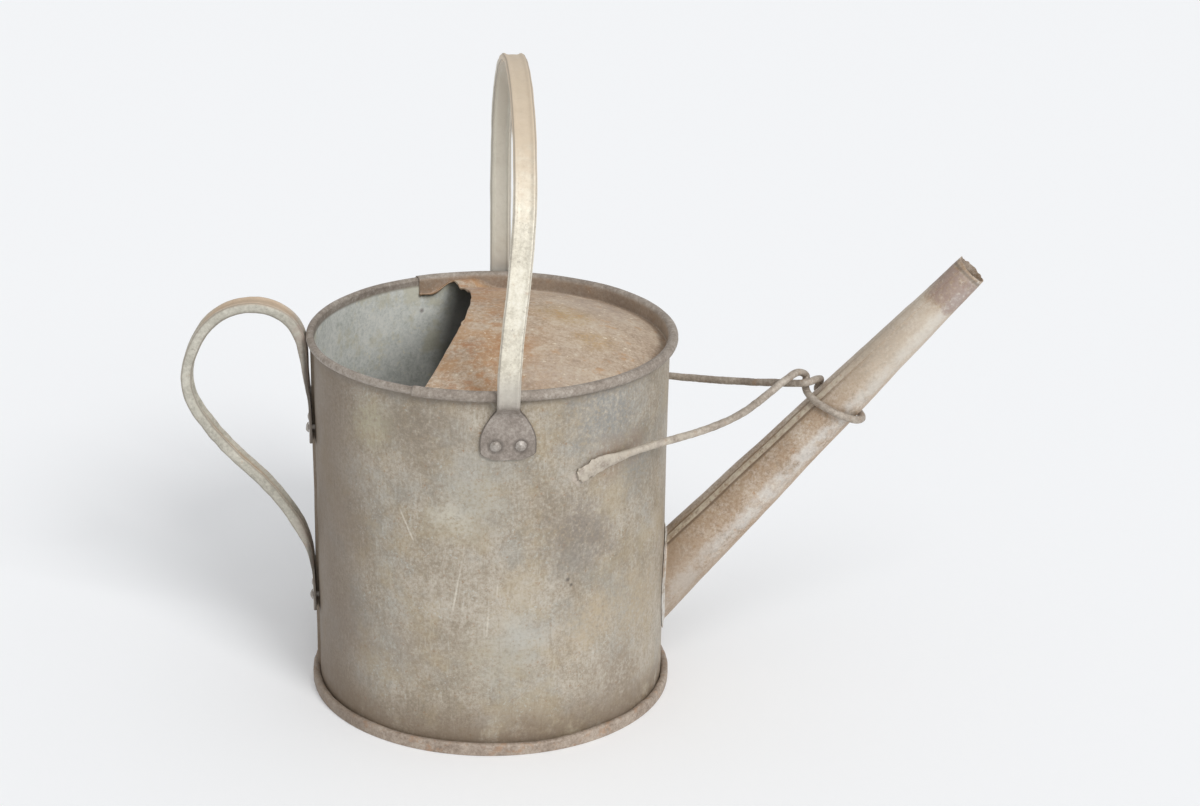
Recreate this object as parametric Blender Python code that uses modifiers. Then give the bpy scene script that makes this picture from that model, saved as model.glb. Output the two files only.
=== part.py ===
"""Galvanised watering can with a half cover, two strap handles and a braced spout.

Metres, +Z up. The origin is the centre of the base, on the can's axis. The spout points
along +X, the rear handle along -X, and the top handle spans the can along Y.
"""
import math

import bmesh
import bpy
import numpy as np
from mathutils import Matrix, Vector

MM = 0.001

# Fits
FIT_GAP = 0.3 * MM
FACETS = 60

# Body sheet, its side seam and its wired rim
BODY_RADIUS = 105.0 * MM
RIM_HEIGHT = 224.4 * MM
SHEET = 0.6 * MM
RIM_WIRE_RADIUS = 1.4 * MM
SEAM_WIDTH = 7.0 * MM
SEAM_HEIGHT = 1.8 * MM
SEAM_GROOVE = 0.5 * MM

# Base plate, folded up round the flange of the body
BASE_SHEET = 0.6 * MM
FOOT_BAND_HEIGHT = 7.1 * MM
FOOT_FOLD_GAP = 0.9 * MM
BODY_FLANGE_HEIGHT = 4.9 * MM

# Half cover
COVER_SHEET = 0.5 * MM
COVER_DEPTH = 9.6 * MM
COVER_RISE = 20.5 * MM
COVER_WRAP_ANGLE = math.radians(115.0)
COVER_TONGUE_ANGLE = math.radians(103.0)
MOUTH_REACH = 11.7 * MM
MOUTH_CENTRE_Y = 38.0 * MM

# Strap of both handles
STRAP_WIDTH = 13.0 * MM
BAIL_STRAP_HEIGHT = 4.2 * MM
REAR_STRAP_HEIGHT = 6.8 * MM
FOOT_THICKNESS = 1.4 * MM

# Top handle
BAIL_X = 7.1 * MM
BAIL_LEG_HEIGHT = 47.6 * MM
BAIL_FOOT_WIDTH = 32.0 * MM
BAIL_FOOT_LENGTH = 30.0 * MM
BAIL_CREASE_DROP = 10.0 * MM
BAIL_RIVET_SPACING = 13.8 * MM
BAIL_RIVET_DROP = 31.7 * MM
BAIL_BOW = 9.0 * MM
BAIL_BOW_PEAK = 100.0 * MM
BAIL_BOW_NEAR_SPAN = 135.0 * MM
BAIL_BOW_FAR_SPAN = 250.0 * MM

# Rear handle: how far its middle stands off the wall, and how far below the rim it is
REAR_LOOP = [(4.8, 26.4), (6.0, 13.0), (7.9, 2.9), (14.3, -7.2), (23.4, -12.9), (35.8, -15.0),
             (49.8, -11.6), (61.8, -2.2), (70.2, 12.0), (74.2, 26.7), (73.6, 37.4), (70.8, 46.0),
             (63.2, 58.8), (47.5, 78.4), (31.0, 95.4), (19.2, 110.7), (11.2, 123.9), (5.6, 137.4)]
REAR_UPPER_FOOT_DROP = 68.4 * MM
REAR_LOWER_FOOT_DROP = 177.4 * MM
REAR_FOOT_WIDTH = 34.0 * MM
REAR_FOOT_LENGTH = 27.0 * MM
REAR_STATION = 10.0 * MM
REAR_RIVET_SPACING = 17.0 * MM
REAR_RIVET_RISE = 10.0 * MM

# Rivets
RIVET_HEAD_RADIUS = 3.2 * MM
RIVET_HEAD_HEIGHT = 1.8 * MM
RIVET_SHANK_RADIUS = 1.5 * MM
RIVET_TAIL_RADIUS = 2.4 * MM
RIVET_TAIL_HEIGHT = 1.0 * MM

# Spout
SPOUT_ROOT_HEIGHT = 64.8 * MM
SPOUT_RISE = math.radians(47.8)
SPOUT_LENGTH = 265.0 * MM
SPOUT_ROOT_RADIUS = 19.8 * MM
SPOUT_TIP_RADIUS = 9.9 * MM
SPOUT_SHEET = 0.6 * MM
SPOUT_FLANGE_WIDTH = 3.0 * MM
SPOUT_FLANGE_SHEET = 0.6 * MM
SPOUT_LAP_WIDTH = 5.0 * MM
SPOUT_LAP_HEIGHT = 0.6 * MM
SPOUT_LAP_ANGLE = math.radians(28.0)
SPOUT_MOUTH_TILT = math.radians(8.0)
SPOUT_FACETS = 32

# Brace wire
BRACE_WIRE_RADIUS = 2.3 * MM
BRACE_FOOT_HALF_THICKNESS = 1.2 * MM
BRACE_FOOT_HALF_WIDTH = 3.9 * MM
BRACE_NEAR_FOOT_DROP = 54.4 * MM
BRACE_FAR_FOOT_DROP = 60.0 * MM
BRACE_FOOT_RISE = 4.5 * MM
BRACE_FOOT_START = math.radians(64.0)
BRACE_FOOT_END = math.radians(55.5)
BRACE_FOOT_TAPER = 20.0 * MM
BRACE_STATION = 6.5 * MM
BRACE_RING_PLACE = 150.0 * MM
BRACE_RING_TILT = math.radians(18.0)
BRACE_RING_START = math.radians(35.0)
BRACE_RING_END = math.radians(300.0)
# Hooks of the wire over the spout, from the ring's centre: along the spout, across it, and
# above the ring's own radius
BRACE_NEAR_HOOK = [(-29.4, -26.0, 27.9), (-18.8, -17.0, 23.2), (-7.9, -9.0, 18.9),
                   (-0.1, 1.0, 12.6), (0.0, 6.5, 5.9), (-4.5, 2.0, 2.6)]
BRACE_FAR_HOOK = [(3.5, 11.0, -4.0), (3.5, 3.0, 0.9), (-0.5, -4.0, 6.2), (-6.8, 0.5, 9.9),
                  (-14.6, 9.5, 14.0), (-24.9, 20.0, 20.1)]

BEAD_RADIUS = RIM_WIRE_RADIUS + FIT_GAP + SHEET
BEAD_CENTRE_R = BODY_RADIUS - SHEET + BEAD_RADIUS
BEAD_CENTRE_Z = RIM_HEIGHT - BEAD_RADIUS
WRAP_INNER = BEAD_RADIUS + FIT_GAP
WRAP_OUTER = WRAP_INNER + COVER_SHEET
RIM_OUTER_R = BEAD_CENTRE_R + WRAP_OUTER
SPOUT_ROOT = Vector((BODY_RADIUS, 0.0, SPOUT_ROOT_HEIGHT))
SPOUT_AXIS = Vector((math.cos(SPOUT_RISE), 0.0, math.sin(SPOUT_RISE)))
SPOUT_UP = Vector((-math.sin(SPOUT_RISE), 0.0, math.cos(SPOUT_RISE)))
BAIL_FOOT_RADIUS = BODY_RADIUS + FIT_GAP + FOOT_THICKNESS / 2
REAR_FOOT_RADIUS = BODY_RADIUS + SEAM_HEIGHT + FIT_GAP + FOOT_THICKNESS / 2

# Section of the strap as shares of its half width and height, from the left edge over the
# outer side to the right edge and back along the inner side
STRAP_OUTER_SHARES = [(-1.0, 0.50), (-0.9, 0.88), (-0.74, 1.0), (-0.56, 0.84), (0.0, 0.80),
                      (0.56, 0.84), (0.74, 1.0), (0.9, 0.88), (1.0, 0.50)]
STRAP_INNER_SHARES = [(0.9, 0.12), (0.74, 0.0), (0.56, 0.30), (0.0, 0.46), (-0.56, 0.30),
                      (-0.74, 0.0), (-0.9, 0.12)]


# Scene and materials

def clear_scene():
    for obj in list(bpy.data.objects):
        bpy.data.objects.remove(obj, do_unlink=True)


def new_collection(name):
    collection = bpy.data.collections.new(name)
    bpy.context.scene.collection.children.link(collection)
    return collection


def metal(name, colour, metallic, roughness):
    material = bpy.data.materials.new(name)
    material.use_nodes = True
    shader = material.node_tree.nodes["Principled BSDF"]
    shader.inputs["Base Color"].default_value = (*colour, 1.0)
    shader.inputs["Metallic"].default_value = metallic
    shader.inputs["Roughness"].default_value = roughness
    return material


def move_to(obj, collection):
    for owner in list(obj.users_collection):
        owner.objects.unlink(obj)
    collection.objects.link(obj)


def as_part(obj, name, material):
    obj.name = name
    obj.data.name = name
    obj.data.materials.clear()
    obj.data.materials.append(material)
    move_to(obj, PARTS)
    obj.data.shade_smooth()
    obj.data.set_sharp_from_angle(angle=math.radians(35.0))
    return obj


def as_cutter(obj, name):
    obj.name = name
    move_to(obj, CUTTERS)
    obj.hide_render = True
    obj.display_type = "WIRE"
    return obj


# Shapes

def mesh_object(name, points, edges, faces):
    mesh = bpy.data.meshes.new(name)
    mesh.from_pydata([tuple(p) for p in points], edges, faces)
    obj = bpy.data.objects.new(name, mesh)
    bpy.context.scene.collection.objects.link(obj)
    return obj


def turned(name, profile, steps, closed):
    """Turns a profile of (radius, height) points about Z."""
    points = [(r, 0.0, z) for r, z in profile]
    edges = [(i, i + 1) for i in range(len(points) - 1)]
    if closed:
        edges.append((len(points) - 1, 0))
    obj = mesh_object(name, points, edges, [])
    screw = obj.modifiers.new("turn", "SCREW")
    screw.steps = steps
    screw.render_steps = steps
    screw.use_merge_vertices = True
    screw.merge_threshold = 0.00001
    screw.use_smooth_shade = True
    return obj


def arc(centre, radius, start, end, count):
    """Points of (radius, height) on an arc, both ends included, angles in degrees."""
    angles = np.radians(np.linspace(start, end, count))
    return [(centre[0] + radius * math.cos(a), centre[1] + radius * math.sin(a)) for a in angles]


def loft(name, sections):
    """Closed solid through sections of equal point count, with flat ends."""
    rings = len(sections)
    count = len(sections[0])
    points = [p for section in sections for p in section]
    faces = [(r * count + i, r * count + (i + 1) % count,
              (r + 1) * count + (i + 1) % count, (r + 1) * count + i)
             for r in range(rings - 1) for i in range(count)]
    faces.append(tuple(range(count - 1, -1, -1)))
    faces.append(tuple((rings - 1) * count + i for i in range(count)))
    obj = mesh_object(name, points, [], faces)
    solid = bmesh.new()
    solid.from_mesh(obj.data)
    bmesh.ops.recalc_face_normals(solid, faces=solid.faces)
    solid.to_mesh(obj.data)
    solid.free()
    return obj


def smooth_path(points, spacing):
    """Cubic curve through the points, with slopes from their neighbours' spacing."""
    points = np.array(points, float)
    gaps = np.linalg.norm(np.diff(points, axis=0), axis=1)
    place = np.concatenate([[0.0], np.cumsum(gaps)])
    slopes = np.gradient(points, place, axis=0)
    out = [points[0]]
    for i, gap in enumerate(gaps):
        for t in np.linspace(0.0, 1.0, max(2, round(gap / spacing) + 1))[1:]:
            h = (2 * t**3 - 3 * t**2 + 1, t**3 - 2 * t**2 + t, 3 * t**2 - 2 * t**3, t**3 - t**2)
            out.append(h[0] * points[i] + h[1] * gap * slopes[i]
                       + h[2] * points[i + 1] + h[3] * gap * slopes[i + 1])
    return np.array(out)


def tangents(path):
    slope = np.gradient(path, axis=0)
    return slope / np.linalg.norm(slope, axis=1)[:, None]


def boolean(obj, tool, operation):
    modifier = obj.modifiers.new(operation.lower(), "BOOLEAN")
    modifier.operation = operation
    modifier.solver = "EXACT"
    modifier.object = tool


def along(start, axis):
    """Matrix that carries +Z to an axis, with its origin at a start point."""
    return Matrix.Translation(start) @ Vector(axis).to_track_quat("Z", "Y").to_matrix().to_4x4()


def cylinder(name, radius, length, matrix, sides):
    bpy.ops.mesh.primitive_cylinder_add(vertices=sides, radius=radius, depth=length)
    obj = bpy.context.object
    obj.matrix_world = matrix
    obj.name = name
    return obj


# Body

def body_wall():
    inner = BODY_RADIUS - SHEET
    centre = (BEAD_CENTRE_R, BEAD_CENTRE_Z)
    floor = BASE_SHEET + FIT_GAP
    hook = BODY_RADIUS + 2 * FOOT_FOLD_GAP + BASE_SHEET
    profile = arc(centre, BEAD_RADIUS, 180, -120, 9)
    profile += arc(centre, BEAD_RADIUS - SHEET, -120, 180, 8)[:-1]
    profile += [(BODY_RADIUS, BEAD_CENTRE_Z), (BODY_RADIUS, floor + SHEET), (hook, floor + SHEET),
                (hook, BODY_FLANGE_HEIGHT), (hook + SHEET, BODY_FLANGE_HEIGHT),
                (hook + SHEET, floor), (inner, floor)]
    wall = turned("body_wall", profile, FACETS, True)
    boolean(wall, side_seam(), "UNION")
    boolean(wall, spout_bore(), "DIFFERENCE")
    return as_part(wall, "body_wall", GALVANISED)


def side_seam():
    """Folded seam down the back, a flat ridge with a groove beside its fold."""
    low = FOOT_BAND_HEIGHT + FIT_GAP + SHEET
    high = BEAD_CENTRE_Z - BEAD_RADIUS - FIT_GAP - SHEET
    half = SEAM_WIDTH / 2
    outer = BODY_RADIUS + SEAM_HEIGHT
    root = BODY_RADIUS - SHEET / 2
    outline = [(root, -half), (outer - SEAM_GROOVE, -half), (outer, -half + SEAM_GROOVE),
               (outer, half / 2), (outer - SEAM_GROOVE, half / 2 + SEAM_GROOVE),
               (outer - SEAM_GROOVE, half), (root, half)]
    sections = [[(-x, y, z) for x, y in outline] for z in (low, high)]
    return as_cutter(loft("side_seam", sections), "side_seam")


def rim_wire():
    bpy.ops.mesh.primitive_torus_add(major_segments=FACETS, minor_segments=7,
                                     major_radius=BEAD_CENTRE_R, minor_radius=RIM_WIRE_RADIUS,
                                     location=(0.0, 0.0, BEAD_CENTRE_Z))
    return as_part(bpy.context.object, "rim_wire", WIRE)


def bottom_plate():
    inside = BODY_RADIUS + FOOT_FOLD_GAP
    outside = inside + 2 * BASE_SHEET + SHEET + 2 * FOOT_FOLD_GAP
    fold = (outside - inside) / 2
    centre = (inside + fold, FOOT_BAND_HEIGHT - fold)
    tuck = BASE_SHEET + FIT_GAP + SHEET + FOOT_FOLD_GAP
    profile = arc(centre, fold, 180, 0, 5)
    profile += arc((outside - BASE_SHEET, BASE_SHEET), BASE_SHEET, 0, -90, 3)
    profile += [(0.0, 0.0), (0.0, BASE_SHEET), (outside - BASE_SHEET, BASE_SHEET)]
    profile += arc(centre, fold - BASE_SHEET, 0, 180, 4)
    profile += [(inside + BASE_SHEET, tuck), (inside, tuck)]
    axis_point = profile.index((0.0, 0.0))
    ordered = profile[axis_point + 1:] + profile[:axis_point + 1]
    return as_part(turned("bottom_plate", ordered, FACETS, False), "bottom_plate", GALVANISED)


# Cover

def top_cover():
    centre = (BEAD_CENTRE_R, BEAD_CENTRE_Z)
    skirt = BEAD_CENTRE_R - WRAP_OUTER
    edge = RIM_HEIGHT - COVER_DEPTH
    radii = skirt * np.linspace(1.0, 0.0, 7)
    dome = [(r, edge + COVER_RISE * (1.0 - (r / skirt) ** 2)) for r in radii]
    under = [(r, z - COVER_SHEET) for r, z in dome[::-1]]
    under[-1] = (skirt + COVER_SHEET, edge - COVER_SHEET)
    profile = under + arc(centre, WRAP_INNER, 180, -70, 8) + arc(centre, WRAP_OUTER, -70, 180, 8)
    profile += dome
    cover = turned("top_cover", profile[::-1], FACETS, False)
    boolean(cover, mouth_cutter(), "DIFFERENCE")
    return as_part(cover, "top_cover", RUSTED)


def mouth_cutter():
    """Plan of the filling mouth: two half parabolas that end on the rim, and a tongue beyond."""
    lip = BEAD_CENTRE_R - WRAP_OUTER - FIT_GAP
    beyond = BODY_RADIUS * 1.2
    ends = [(lip * math.cos(a), lip * math.sin(a))
            for a in (-COVER_WRAP_ANGLE, COVER_TONGUE_ANGLE)]

    def edge_x(y):
        end_x, end_y = ends[0 if y < MOUTH_CENTRE_Y else 1]
        share = (y - MOUTH_CENTRE_Y) / (end_y - MOUTH_CENTRE_Y)
        return -MOUTH_REACH + (end_x + MOUTH_REACH) * share ** 2

    outline = [(edge_x(y), y) for y in np.linspace(ends[0][1], ends[1][1], 17)]
    outline += [(lip * math.cos(a), lip * math.sin(a))
                for a in np.linspace(COVER_TONGUE_ANGLE, COVER_WRAP_ANGLE, 3)]
    outline += [(beyond * math.cos(a), beyond * math.sin(a))
                for a in np.linspace(COVER_WRAP_ANGLE, 2 * math.pi - COVER_WRAP_ANGLE, 7)]
    heights = (RIM_HEIGHT - 2 * COVER_DEPTH, RIM_HEIGHT + 2 * COVER_RISE)
    sections = [[(x, y, z) for x, y in outline] for z in heights]
    return as_cutter(loft("filling_mouth", sections), "filling_mouth")


# Handles

def strap_points(centre, across, outward, half_width, strap_height, flatness):
    """One section: the rolled strap, flattened by a share towards a foot's plain sheet."""
    points = []
    for side, shares in (("outer", STRAP_OUTER_SHARES), ("inner", STRAP_INNER_SHARES)):
        for share_x, share_h in shares:
            rolled = (share_h - 0.5) * strap_height
            flat = FOOT_THICKNESS / 2 * (1.0 if side == "outer" else -1.0)
            if abs(share_x) == 1.0:
                flat = 0.0
            height = rolled * (1.0 - flatness) + flat * flatness
            points.append(centre + across * share_x * half_width + outward * height)
    return points


def foot_half_width(share, foot_width):
    """Half width of a spade foot, from its neck at 0 to its blunt end at 1."""
    neck = STRAP_WIDTH / 2
    grown = neck + (foot_width / 2 - neck) * math.sin(math.pi / 2 * min(share / 0.72, 1.0))
    return grown * (1.0 - 0.5 * max(0.0, (share - 0.86) / 0.14) ** 2)


def seat_on_wall(point, radius, axis):
    """Bends a point of a foot along one axis to a radius round the can."""
    other = 1 - axis
    point[axis] = math.copysign(math.sqrt(radius ** 2 - point[other] ** 2), point[axis])
    return point


def bail_stations():
    """Middle of the strap in its own plane, from the near foot's end over the top."""
    crease = RIM_HEIGHT - BAIL_CREASE_DROP
    span = RIM_OUTER_R + FIT_GAP + BAIL_STRAP_HEIGHT / 2
    spring = RIM_HEIGHT + BAIL_LEG_HEIGHT
    step_out = (span - BAIL_FOOT_RADIUS) / 2
    foot = [(BAIL_FOOT_RADIUS, crease - BAIL_FOOT_LENGTH * share, share, 1.0)
            for share in (1.0, 0.93, 0.86, 0.72, 0.58, 0.44, 0.3, 0.15)]
    bend = [(BAIL_FOOT_RADIUS + step_out, crease + BAIL_CREASE_DROP * 0.1, 0.0, 0.45),
            (span, crease + BAIL_CREASE_DROP * 0.45, 0.0, 0.0)]
    leg = [(span, RIM_HEIGHT + BAIL_LEG_HEIGHT * share, 0.0, 0.0) for share in (0.0, 0.33, 0.66)]
    quarter = [(span * math.cos(a), spring + span * math.sin(a), 0.0, 0.0)
               for a in np.linspace(0.0, math.pi / 2, 14)]
    return foot + bend + leg + quarter


def bail_bow(distance):
    """Sideways bow of the hoop towards the spout, by distance from its top, near side negative."""
    offset = distance + BAIL_BOW_PEAK
    span = BAIL_BOW_NEAR_SPAN if offset < 0 else BAIL_BOW_FAR_SPAN
    if abs(offset) >= span:
        return 0.0
    return BAIL_BOW * (1.0 + math.cos(math.pi * offset / span)) / 2


def bail_handle():
    near = bail_stations()
    far = [(-y, z, foot, flat) for y, z, foot, flat in near[-2::-1]]
    stations = [(-y, z, foot, flat) for y, z, foot, flat in near + far]
    middle = np.array([(y, z) for y, z, foot, flat in stations])
    slope = tangents(middle)
    steps = np.linalg.norm(np.diff(middle, axis=0), axis=1)
    distance = np.concatenate([[0.0], np.cumsum(steps)])
    distance = distance - distance[-1] / 2
    across = np.array((1.0, 0.0, 0.0))
    sections = []
    for (y, z, foot, flat), (ty, tz), s in zip(stations, slope, distance):
        outward = np.array((0.0, -tz, ty))
        centre = np.array((BAIL_X + bail_bow(s), y, z))
        half = foot_half_width(foot, BAIL_FOOT_WIDTH) if foot else STRAP_WIDTH / 2
        section = strap_points(centre, across, outward, half, BAIL_STRAP_HEIGHT, flat)
        if flat == 1.0:
            heights = [(p - centre) @ outward for p in section]
            section = [seat_on_wall(p, BAIL_FOOT_RADIUS + h, 1)
                       for p, h in zip(section, heights)]
        sections.append(section)
    handle = loft("bail_handle", sections)
    for index, matrix in enumerate(bail_rivet_places()):
        boolean(handle, rivet_hole(f"bail_hole_{index + 1}", matrix), "DIFFERENCE")
    return as_part(handle, "bail_handle", PALE_STRAP)


def rear_path():
    """Middle of the strap from the upper foot's end round the loop to the lower foot's end."""
    upper_end = RIM_HEIGHT - REAR_UPPER_FOOT_DROP
    lower_end = RIM_HEIGHT - REAR_LOWER_FOOT_DROP
    shares = (1.0, 0.93, 0.86, 0.72, 0.5, 0.25)
    upper = [(-REAR_FOOT_RADIUS, upper_end + REAR_FOOT_LENGTH * (1.0 - share)) for share in shares]
    lower = [(-REAR_FOOT_RADIUS, lower_end + REAR_FOOT_LENGTH * (1.0 - share))
             for share in shares[::-1]]
    loop = [(-BODY_RADIUS - off * MM, RIM_HEIGHT - drop * MM) for off, drop in REAR_LOOP]
    path = smooth_path(loop, REAR_STATION)
    middle = np.concatenate([upper, path, lower])
    feet = list(shares) + [0.0] * len(path) + list(shares[::-1])
    flats = [1.0] * len(shares) + [0.0] * len(path) + [1.0] * len(shares)
    flats[len(shares)] = 0.6
    flats[len(shares) + 1] = 0.25
    flats[-len(shares) - 1] = 0.5
    return middle, feet, flats


def rear_handle():
    middle, feet, flats = rear_path()
    slope = tangents(middle)
    across = np.array((0.0, 1.0, 0.0))
    half_way = len(middle) // 2
    sections = []
    for index, ((x, z), foot, flat) in enumerate(zip(middle, feet, flats)):
        tx, tz = slope[index]
        outward = np.array((tz, 0.0, -tx))
        if flat == 1.0:
            outward = np.array((1.0 if index < half_way else -1.0, 0.0, 0.0))
        centre = np.array((x, 0.0, z))
        half = foot_half_width(foot, REAR_FOOT_WIDTH) if foot else STRAP_WIDTH / 2
        section = strap_points(centre, across, outward, half, REAR_STRAP_HEIGHT, flat)
        if flat == 1.0:
            heights = [-(p - centre)[0] for p in section]
            section = [seat_on_wall(p, REAR_FOOT_RADIUS + h, 0)
                       for p, h in zip(section, heights)]
        sections.append(section)
    handle = loft("rear_handle", sections)
    for index, matrix in enumerate(rear_rivet_places()):
        boolean(handle, rivet_hole(f"rear_hole_{index + 1}", matrix), "DIFFERENCE")
    return as_part(handle, "rear_handle", STRAP)


# Rivets

def rivet_hole(name, matrix):
    length = 8 * (SEAM_HEIGHT + FOOT_THICKNESS)
    hole = cylinder(name, RIVET_SHANK_RADIUS + FIT_GAP, length, matrix, 12)
    return as_cutter(hole, name)


def radial_place(radius, angle, height):
    """Matrix of a rivet whose head faces out from the wall at an angle about the axis."""
    outward = Vector((math.cos(angle), math.sin(angle), 0.0))
    return along(outward * radius + Vector((0.0, 0.0, height)), outward)


def bail_rivet_places():
    height = RIM_HEIGHT - BAIL_RIVET_DROP
    radius = BAIL_FOOT_RADIUS + FOOT_THICKNESS / 2 + FIT_GAP
    angles = [side * math.acos((BAIL_X + shift * BAIL_RIVET_SPACING / 2) / BAIL_FOOT_RADIUS)
              for side in (-1, 1) for shift in (-1, 1)]
    return [radial_place(radius, angle, height) for angle in angles]


def rear_rivet_places():
    radius = REAR_FOOT_RADIUS + FOOT_THICKNESS / 2 + FIT_GAP
    turn = math.asin(REAR_RIVET_SPACING / 2 / REAR_FOOT_RADIUS)
    return [radial_place(radius, math.pi + side * turn, RIM_HEIGHT - drop + REAR_RIVET_RISE)
            for drop in (REAR_UPPER_FOOT_DROP, REAR_LOWER_FOOT_DROP) for side in (-1, 1)]


def rivet(name, matrix, stack):
    """Domed head over a stack of sheets, with its shank and its flattened tail inside."""
    dome_radius = (RIVET_HEAD_RADIUS ** 2 + RIVET_HEAD_HEIGHT ** 2) / (2 * RIVET_HEAD_HEIGHT)
    edge = math.degrees(math.asin(RIVET_HEAD_RADIUS / dome_radius))
    profile = arc((0.0, RIVET_HEAD_HEIGHT - dome_radius), dome_radius, 90, 90 - edge, 5)
    profile[0] = (0.0, RIVET_HEAD_HEIGHT)
    profile += [(RIVET_SHANK_RADIUS, 0.0), (RIVET_SHANK_RADIUS, -stack),
                (RIVET_TAIL_RADIUS, -stack), (RIVET_TAIL_RADIUS * 0.8, -stack - RIVET_TAIL_HEIGHT),
                (0.0, -stack - RIVET_TAIL_HEIGHT)]
    obj = turned(name, profile, 12, False)
    obj.matrix_world = matrix
    return as_part(obj, name, WIRE)


def rivets(wall):
    stack = {"bail": FOOT_THICKNESS + SHEET + 3 * FIT_GAP,
             "rear": FOOT_THICKNESS + SEAM_HEIGHT + SHEET + 3 * FIT_GAP}
    for group, places in (("bail", bail_rivet_places()), ("rear", rear_rivet_places())):
        for index, matrix in enumerate(places):
            name = f"{group}_rivet_{index + 1}"
            rivet(name, matrix, stack[group])
            boolean(wall, rivet_hole(f"wall_{name}", matrix), "DIFFERENCE")


# Spout

def spout_radius(place):
    return SPOUT_ROOT_RADIUS + (SPOUT_TIP_RADIUS - SPOUT_ROOT_RADIUS) * place / SPOUT_LENGTH


def spout_cone(name, start, end, extra):
    """Round taper about the spout's axis between two places, thicker by an extra radius."""
    matrix = along(SPOUT_ROOT + SPOUT_AXIS * (start + end) / 2, SPOUT_AXIS)
    bpy.ops.mesh.primitive_cone_add(vertices=SPOUT_FACETS, radius1=spout_radius(start) + extra,
                                    radius2=spout_radius(end) + extra, depth=end - start)
    obj = bpy.context.object
    obj.matrix_world = matrix
    obj.name = name
    return obj


def spout_bore():
    return as_cutter(spout_cone("spout_hole", -2 * SPOUT_ROOT_RADIUS, SPOUT_ROOT_RADIUS,
                                -SPOUT_SHEET), "spout_hole")


def spout():
    inside = -1.5 * SPOUT_ROOT_RADIUS
    beyond = SPOUT_LENGTH + 2 * SPOUT_TIP_RADIUS
    tube = spout_cone("spout", inside, SPOUT_LENGTH + SPOUT_TIP_RADIUS / 2, 0.0)
    upright = Matrix.Translation((0.0, 0.0, SPOUT_ROOT_HEIGHT))
    seat = BODY_RADIUS + FIT_GAP
    height = 8 * SPOUT_ROOT_RADIUS

    flange = cylinder("spout_flange", seat + SPOUT_FLANGE_SHEET, height, upright, FACETS)
    flare = spout_cone("spout_flare", inside, 2 * SPOUT_ROOT_RADIUS, SPOUT_FLANGE_WIDTH)
    boolean(flange, as_cutter(flare, "spout_flare"), "INTERSECT")
    boolean(tube, as_cutter(flange, "spout_flange"), "UNION")

    lap = spout_cone("spout_lap", 0.0, SPOUT_LENGTH, SPOUT_LAP_HEIGHT)
    boolean(lap, lap_strip(), "INTERSECT")
    boolean(tube, as_cutter(lap, "spout_lap"), "UNION")

    wall = cylinder("spout_seat", seat, height * 1.1, upright, FACETS)
    boolean(tube, as_cutter(wall, "spout_seat"), "DIFFERENCE")
    bore = spout_cone("spout_inside", inside * 1.1, beyond, -SPOUT_SHEET)
    boolean(tube, as_cutter(bore, "spout_inside"), "DIFFERENCE")
    boolean(tube, mouth_trim(), "DIFFERENCE")
    return as_part(tube, "spout", SPOUT_METAL)


def lap_strip():
    """Long bar through the spout's skin at the angle of its lap seam."""
    near = SPOUT_UP * math.cos(SPOUT_LAP_ANGLE) - Vector((0.0, 1.0, 0.0)) * math.sin(SPOUT_LAP_ANGLE)
    side = SPOUT_AXIS.cross(near)
    reach = (SPOUT_ROOT_RADIUS + SPOUT_LAP_HEIGHT) * 1.2
    half = SPOUT_LAP_WIDTH / 2
    sections = []
    for place in (0.0, SPOUT_LENGTH):
        base = SPOUT_ROOT + SPOUT_AXIS * place
        corners = ((-half, 0.5), (half, 0.5), (half, 1.0), (-half, 1.0))
        sections.append([base + side * s + near * (spout_radius(place) * 0.8 if r < 1 else reach)
                         for s, r in corners])
    return as_cutter(loft("lap_strip", sections), "lap_strip")


def mouth_trim():
    """Block that trims the spout's end, square to the axis but leaning to the near side."""
    size = 8 * SPOUT_TIP_RADIUS
    lean = Matrix.Rotation(SPOUT_MOUTH_TILT, 4, "X")
    place = along(SPOUT_ROOT + SPOUT_AXIS * SPOUT_LENGTH, SPOUT_AXIS)
    bpy.ops.mesh.primitive_cube_add(size=size)
    block = bpy.context.object
    block.matrix_world = place @ lean @ Matrix.Translation((0.0, 0.0, size / 2))
    return as_cutter(block, "spout_trim")


# Brace

def wall_point(radius, angle, height):
    return np.array((radius * math.cos(angle), radius * math.sin(angle), height))


def brace_leg(side, foot_drop):
    """Foot along the wall and the wire's start along its tangent, from the foot's tip."""
    radius = BODY_RADIUS + FIT_GAP + BRACE_FOOT_HALF_THICKNESS
    angles = np.linspace(BRACE_FOOT_START, BRACE_FOOT_END, 4)
    heights = RIM_HEIGHT - foot_drop + BRACE_FOOT_RISE * np.linspace(0.0, 1.0, 4)
    foot = [wall_point(radius, side * a, z) for a, z in zip(angles, heights)]
    tangent = np.array((math.sin(BRACE_FOOT_END), -side * math.cos(BRACE_FOOT_END), 0.08))
    return foot + [foot[-1] + tangent * BRACE_FOOT_TAPER * share for share in (0.5, 1.0)]


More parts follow.
